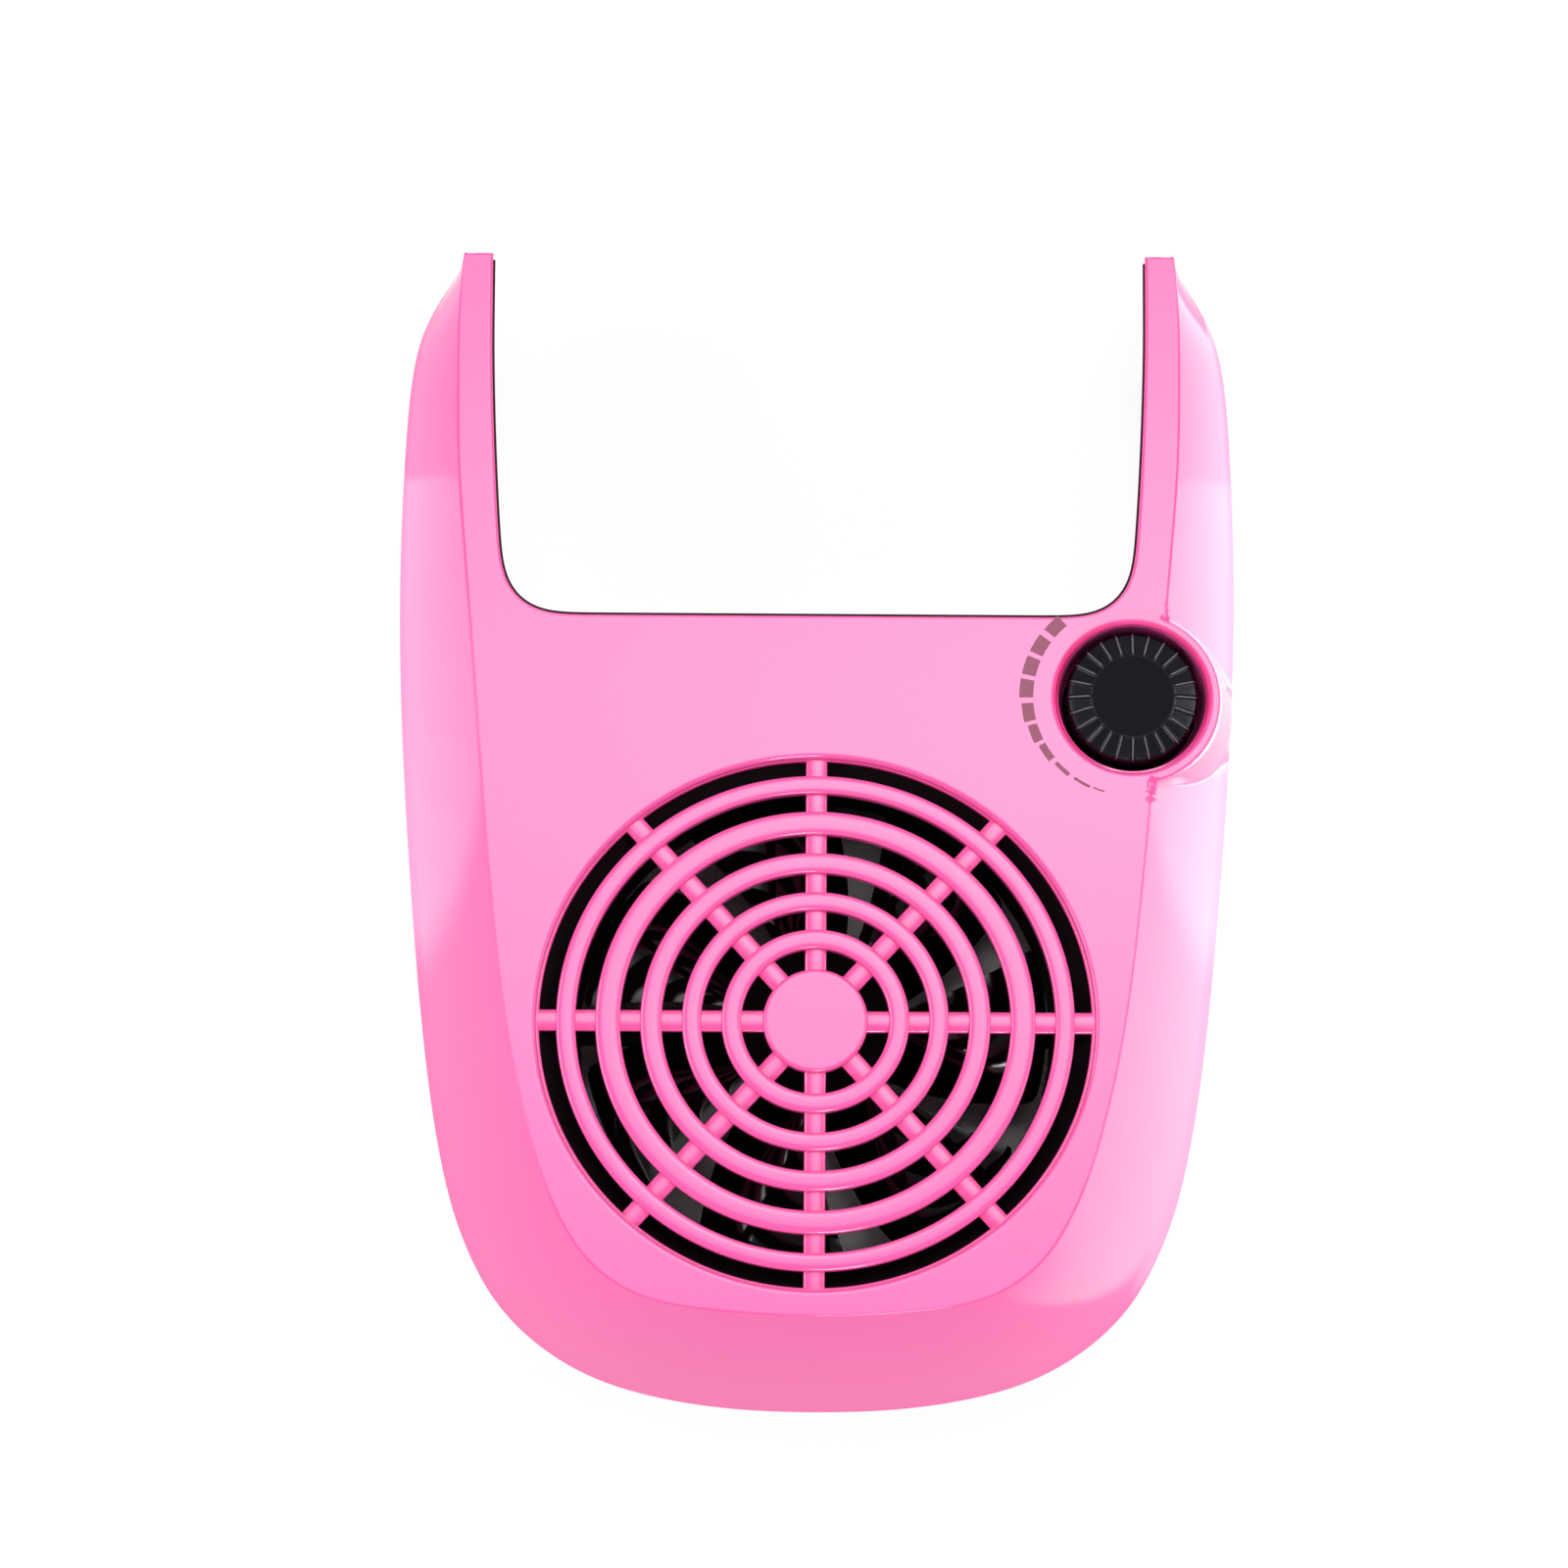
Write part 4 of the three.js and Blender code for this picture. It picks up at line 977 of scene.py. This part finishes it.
for n, (middle, width) in enumerate(MARKS):
    b = Builder()
    half = 5.1 if n < 9 else 3.6
    a = np.radians(np.linspace(middle - half, middle + half, 13))
    inner_r, outer_r = 24.5 + (0.2 if n > 6 else 0), 24.5 + width + (0.2 if n > 6 else 0)
    rows = []
    for r, lift in ((inner_r, -0.06), (inner_r, 0.03), ((inner_r + outer_r) / 2, 0.035),
                    (outer_r, 0.03), (outer_r, -0.06)):
        x, y = KNOB_X + r * np.cos(a), KNOB_Y + r * np.sin(a)
        rows.append(b.row(np.column_stack([x, y, top_height(y) + lift])))
    b.strips(rows, closed=False)
    b.strip(rows[-1], rows[0], closed=False)
    b.fill([r[0] for r in rows])
    b.fill([r[-1] for r in rows][::-1])
    piece(f"scale_mark_{n + 1:02d}", b.verts, b.faces, "cover_pink", look="print_mauve", weighted=False)

# ---- Seal strip along the notch, dark as the seam's painted shade -----------------------------

# A real seal strip, whose dark maroon also paints the shade of the seam along the notch's edge.
b = Builder()
line = NOTCH[NOTCH[:, 1] < REAR_Y - 0.4]
z_top = top_height(line[:, 1])
edge = line.copy()
edge[:, 0] *= 1 + NOTCH_DRAFT * (NOTCH_Z - z_top + 1.3)
into = to_material(edge)
section = [(0.1, -0.75), (-0.35, -0.78), (-0.55, -0.95), (-0.6, -1.3), (-0.5, -1.6), (-0.3, -1.78),
           (0.1, -1.8)]
columns = []
for off, dz in section:
    columns.append(b.row(np.column_stack([edge + into * off, z_top + dz])))
b.strips(columns, closed=False)
b.strip(columns[-1], columns[0], closed=False)
b.fill([c[0] for c in columns])
b.fill([c[-1] for c in columns][::-1])
piece("notch_seal_shade_strip", b.verts, b.faces, "seal_rubber", replaces=["notch_seal"])

# ---- Fan rotor --------------------------------------------------------------------------------

BLADES, TIP_R, FAN_HUB_R, BLADE_PHASE = 7, 57.4, 20.0, -10.6


def blade(b, index):
    around = np.concatenate([np.linspace(0, 1, 15), np.linspace(1, 0, 15)[1:-1]])
    upper = np.array([1] * 15 + [-1] * 13)
    start = math.radians(BLADE_PHASE + 360 / BLADES * index)
    rows = []
    for r in np.concatenate([[18.6], np.linspace(21, 55.5, 16), [56.6, 57.2, 57.4]]):
        along = (r - FAN_HUB_R) / (TIP_R - FAN_HUB_R)
        c = around.copy()
        if r > 56:
            c = 0.5 + (c - 0.5) * (1 - 0.05 * (r - 56) ** 2)
        angle = start + 0.22 * along + (0.78 - 0.12 * along) * (c - 0.5)
        thick = 1.5 * np.sqrt(np.clip(1 - (2 * around - 1) ** 6, 0.02, 1))
        if r > 56:
            thick = thick * (1 - 0.25 * (r - 56))
        z = 43.5 + (17 - 4 * along) * (c - 0.5) + 2.2 * (1 - (2 * c - 1) ** 2) + upper * thick / 2
        rows.append(b.row(np.column_stack([r * np.cos(angle), FAN_Y + r * np.sin(angle), z])))
    b.strips(rows)
    b.caps(rows)


def rotor():
    cup = Builder()
    outside = [(0.4, 53), (12, 53)] + arc(FAN_HUB_R - 1.6, 51.4, 1.6, 1.6, 90, 0, 7)
    outside += [(FAN_HUB_R, 35.3), (FAN_HUB_R - 0.3, 35), (18.4, 35), (18.4, 50.6), (3.4, 50.6),
                (3.4, 49.4), (0.4, 49.4)]
    revolve(cup, outside, 120, lambda r, a: (r * np.cos(a), FAN_Y + r * np.sin(a)), closed=False)
    blades = Builder()
    for index in range(BLADES):
        blade(blades, index)
    return combined(cup, [("UNION", blades)])


finish_piece("rotor_moulding", rotor(), "fan_black", "rotor", ["fan_rotor"], 35, True, None)

# ---- Lower case -------------------------------------------------------------------------------

CASE_TOP, CASE_LOW, CASE_REAR = 29.7, 4.0, REAR_Y - 0.6
CASE_FLOOR, HOLLOW_REAR = 6.4, 135.5
SCREW_SPOTS = [(80, -84), (88, -14), (93, 100)]
LUG_SPOTS = [(48, -4.5), (48, -100.5)]
BOARD_SPOTS = [(84, 15), (84, 43)]
FOOT_SPOTS = [(58, -96), (91.6, 118)]
INLET_Y, INLET_Z = 36, 17


def even(line, count):
    """The line with its points spaced evenly."""
    gaps = np.linalg.norm(np.diff(line, axis=0), axis=1)
    s = np.concatenate([[0], np.cumsum(gaps)])
    t = np.linspace(0, s[-1], count)
    return np.column_stack([np.interp(t, s, line[:, 0]), np.interp(t, s, line[:, 1])])


def moved_line(line, inset, rear, count):
    """A line shifted into the material, carried past its ends and stopped at the rear plane."""
    ends = [line[0] + unit(line[0] - line[3]) * 14, line[-1] + unit(line[-1] - line[-4]) * 14]
    line = even(np.vstack([ends[:1], line, ends[1:]]), 500)
    way = tangents(line)
    line = line + np.column_stack([-way[:, 1], way[:, 0]]) * inset
    keep = np.where(line[:, 1] < rear)[0]
    a, b = keep[0], keep[-1]

    def cross(p, q):
        t = (rear - p[1]) / (q[1] - p[1])
        return p + (q - p) * t

    return even(np.vstack([cross(line[a], line[a - 1]), line[a:b + 1], cross(line[b], line[b + 1])]),
                count)


def case_ring(b, inset, notch_inset, z, rear):
    """The case's outline at one height, round the rim's side and back along the notch."""
    around = moved_line(RIM, inset, rear, 300)
    hollow = NOTCH.copy()
    hollow[:, 0] *= 1 + NOTCH_DRAFT * (NOTCH_Z - z)
    inner = moved_line(hollow, notch_inset, rear, 240)
    plan = np.vstack([around, inner])
    return b.level(plan, z)


def post(b, x, y, profile, count=40):
    """A solid of revolution round an upright axis, from a rising profile of (radius, z)."""
    revolve(b, profile, count, lambda r, a: (x + r * np.cos(a), y + r * np.sin(a)), closed=False)


def both_sides(spots):
    return [(side * x, y) for x, y in spots for side in (1, -1)]


def case():
    """A hollow shell with its posts, and with the bores, foot seats, drawer slot and inlet cut out."""
    b = Builder()
    rows = []
    for inset, z in ((4.7, CASE_LOW), (4.3, 4.12), (3.95, 4.5), (3.6, 5.1), (3.05, 6.2), (2.5, 7.5),
                     (1.95, 9.3), (1.6, 12), (1.3, 16), (1.05, 20), (0.8, 25), (0.62, 29.2),
                     (0.9, CASE_TOP)):
        extra = 0.3 if z in (CASE_TOP, CASE_LOW) else 0.0
        rows.append(case_ring(b, inset, 0.8 + extra, z, CASE_REAR - max(0.0, inset - 0.9)))
    for inset, z in ((2.9, CASE_TOP), (3.2, 25), (3.7, 16), (4.2, 10.5), (5.2, 7.6), (6.4, CASE_FLOOR)):
        rows.append(case_ring(b, inset, 3.2, z, HOLLOW_REAR))
    b.strips(rows)
    b.patch([rows[0]], [], lambda x, y: 0 * x + CASE_LOW)
    b.patch([rows[-1]], [], lambda x, y: 0 * x + CASE_FLOOR)
    posts, cuts = Builder(), Builder()
    for x, y in both_sides(SCREW_SPOTS):
        post(posts, x, y, [(4.2, 5), (4.2, 32.9), (3.9, 33.2)])
        post(cuts, x, y, [(3.9, 3), (3.9, 4), (3.4, 4.6), (3.4, 8), (1.7, 8), (1.7, 40)])
    for x, y in both_sides(LUG_SPOTS):
        post(posts, x, y, [(4.2, 5), (4.2, 29.7)])
        post(cuts, x, y, [(1.5, 12), (1.5, 40)])
    for x, y in BOARD_SPOTS:
        post(posts, x, y, [(2.6, 5), (2.6, 32.2)])
    for x, y in both_sides(FOOT_SPOTS):
        post(cuts, x, y, [(6.1, 3), (6.1, 4), (5.8, 4.3), (5.8, 5)], 64)
    slot = [(-53.4, 8), (53.4, 8), (53.4, 27.8), (-53.4, 27.8)]
    a, c = (cuts.row([(x, y, z) for x, z in slot]) for y in (40, 60))
    cuts.strip(a, c)
    cuts.caps([a, c])
    turned = []
    angles = np.linspace(0, 2 * math.pi, 64, endpoint=False)
    for r, along in ((7.6, -110.6), (7.6, -102.6), (4.3, -102.6), (4.3, -94.6)):
        turned.append(cuts.row(np.column_stack([np.full(64, along), INLET_Y + r * np.cos(angles),
                                                INLET_Z + r * np.sin(angles)])))
    cuts.strips(turned)
    cuts.caps(turned)
    return combined(b, [("UNION", posts), ("DIFFERENCE", cuts)])


finish_piece("case_shell", case(), "case_white", "housing", ["bottom_case"], 38, True, None)

# ---- Lights, floor and world ----------------------------------------------------------------


def area_light(name, place, aim, size, power, spread=180):
    data = bpy.data.lights.new(name, "AREA")
    data.shape = "RECTANGLE"
    data.spread = math.radians(spread)
    data.size, data.size_y = size
    data.energy = power
    lamp = bpy.data.objects.new(name, data)
    lamp.location = place
    lamp.rotation_euler = (Vector(aim) - Vector(place)).to_track_quat("-Z", "Y").to_euler()
    bpy.context.scene.collection.objects.link(lamp)
    return lamp


area_light("overhead", (0.17, 0.64, 1.58), (0, 0, 0.04), (1.9, 1.7), 4.7, spread=55)
area_light("side_left", (-1.15, 0.05, 0.75), (0, 0, 0.05), (0.8, 0.45), 6.3)
area_light("front", (0.14, -1.18, 0.84), (0, 0, 0.04), (0.26, 0.2), 5.5)
area_light("side_right", (1.25, 0.05, 0.75), (0, 0, 0.05), (0.8, 0.45), 3.6)

world = bpy.data.worlds.new("studio")
world.use_nodes = True
set_inputs(world.node_tree.nodes["Background"], Color=(1, 1, 1, 1), Strength=0.3)
bpy.context.scene.world = world
bpy.context.scene.view_settings.view_transform = "Standard"

# The floor is a light table: white all over, with a brighter band lit across it beside the part.
floor_mesh = bpy.data.meshes.new("floor")
floor_mesh.from_pydata([(-3, -3, 0), (3, -3, 0), (3, 3, 0), (-3, 3, 0)], [], [(0, 1, 2, 3)])
floor = bpy.data.objects.new("floor", floor_mesh)
bpy.context.scene.collection.objects.link(floor)
pale = bpy.data.materials.new("floor_white")
pale.use_nodes = True
nodes, links = pale.node_tree.nodes, pale.node_tree.links
shader = nodes["Principled BSDF"]
set_inputs(shader, Base_Color=(0.2, 0.2, 0.2, 1), Roughness=0.9, Specular_IOR_Level=0.0)
place = nodes.new("ShaderNodeTexCoord")
axes = nodes.new("ShaderNodeSeparateXYZ")
links.new(place.outputs["Object"], axes.inputs["Vector"])
X, Y = axes.outputs["X"], axes.outputs["Y"]


def step(source, low, high, to_min, to_max):
    node = nodes.new("ShaderNodeMapRange")
    node.interpolation_type = "SMOOTHSTEP"
    set_inputs(node, From_Min=low, From_Max=high, To_Min=to_min, To_Max=to_max)
    links.new(source, node.inputs["Value"])
    return node.outputs["Result"]


def combine(operation, *values):
    node = nodes.new("ShaderNodeMath")
    node.operation = operation
    for socket, value in zip(node.inputs, values):
        if isinstance(value, (int, float)):
            socket.default_value = value
        else:
            links.new(value, socket)
    return node.outputs[0]


away = combine("ABSOLUTE", X)
rear_edge = combine("MULTIPLY_ADD", away, -0.27, Y)
front_edge = combine("MULTIPLY_ADD", away, -0.45, Y)
band = combine("MULTIPLY", step(rear_edge, 0.060, 0.064, 1, 0), step(front_edge, -0.104, -0.084, 0, 1))
near = combine("MULTIPLY", step(away, 0.124, 0.134, 0, 1), step(away, 0.40, 0.60, 1, 0))
rear = combine("MULTIPLY", step(rear_edge, 0.060, 0.064, 0, 1), 0.3)
side = combine("MULTIPLY", step(X, 0.124, 0.134, 0, 1), step(X, 0.35, 0.50, 1, 0))
reach = combine("MULTIPLY", step(Y, -0.30, -0.14, 0, 1), step(Y, 0.20, 0.30, 1, 0))
glow = combine("MULTIPLY", combine("MULTIPLY_ADD", band, 1.2, rear), near)
glow = combine("ADD", glow, combine("MULTIPLY", combine("MULTIPLY", side, reach), 1.85))
tint = nodes.new("ShaderNodeMix")
tint.data_type = "RGBA"
tint.inputs["A"].default_value = (1, 1, 1, 1)
tint.inputs["B"].default_value = (1, 1, 0.86, 1)
links.new(combine("MULTIPLY", side, reach), tint.inputs["Factor"])
links.new(tint.outputs["Result"], shader.inputs["Emission Color"])
links.new(combine("ADD", glow, 0.83), shader.inputs["Emission Strength"])
floor_mesh.materials.append(pale)

# ---- Carried-over CAD nodes -----------------------------------------------------------------

slots = {s["node"]: s["material_slot"] for s in frame["record"]["subparts"]}
LOOKS = {"intake_funnel": "funnel_black", "fan_frame": "funnel_black"}
BEVELS = {"bottom_case": 0.5, "filter_tray": 0.5, "power_inlet": 0.2, "inlet_nut": 0.25,
          "fan_frame": 0.25, "intake_funnel": 0.2, "filter_sleeve": 0.25, "filter_frame": 0.2,
          "control_board": 0.15, "board_capacitor": 0.3, "board_heat_sink": 0.15,
          "potentiometer_body": 0.2, "potentiometer_washer": 0.1, "potentiometer_nut": 0.15,
          "potentiometer_shaft": 0.15, "power_connector": 0.2, "fan_connector": 0.2}
for name, node in frame["nodes"].items():
    made = MATERIALS[LOOKS.get(name, slots[name])]
    width = BEVELS.get(name, 0.3 if name.startswith("foot_") else 0.15)
    modifier = node.modifiers.new("worn_edges", "BEVEL")
    modifier.width = width * MM
    modifier.segments = 2
    modifier.limit_method = "ANGLE"
    modifier.angle_limit = math.radians(40)
    modifier.harden_normals = True
    node.data.polygons.foreach_set("use_smooth", [True] * len(node.data.polygons))
    node.data.set_sharp_from_angle(angle=math.radians(35))
    if node.data.materials:
        for k in range(len(node.data.materials)):
            node.data.materials[k] = made
    else:
        node.data.materials.append(made)
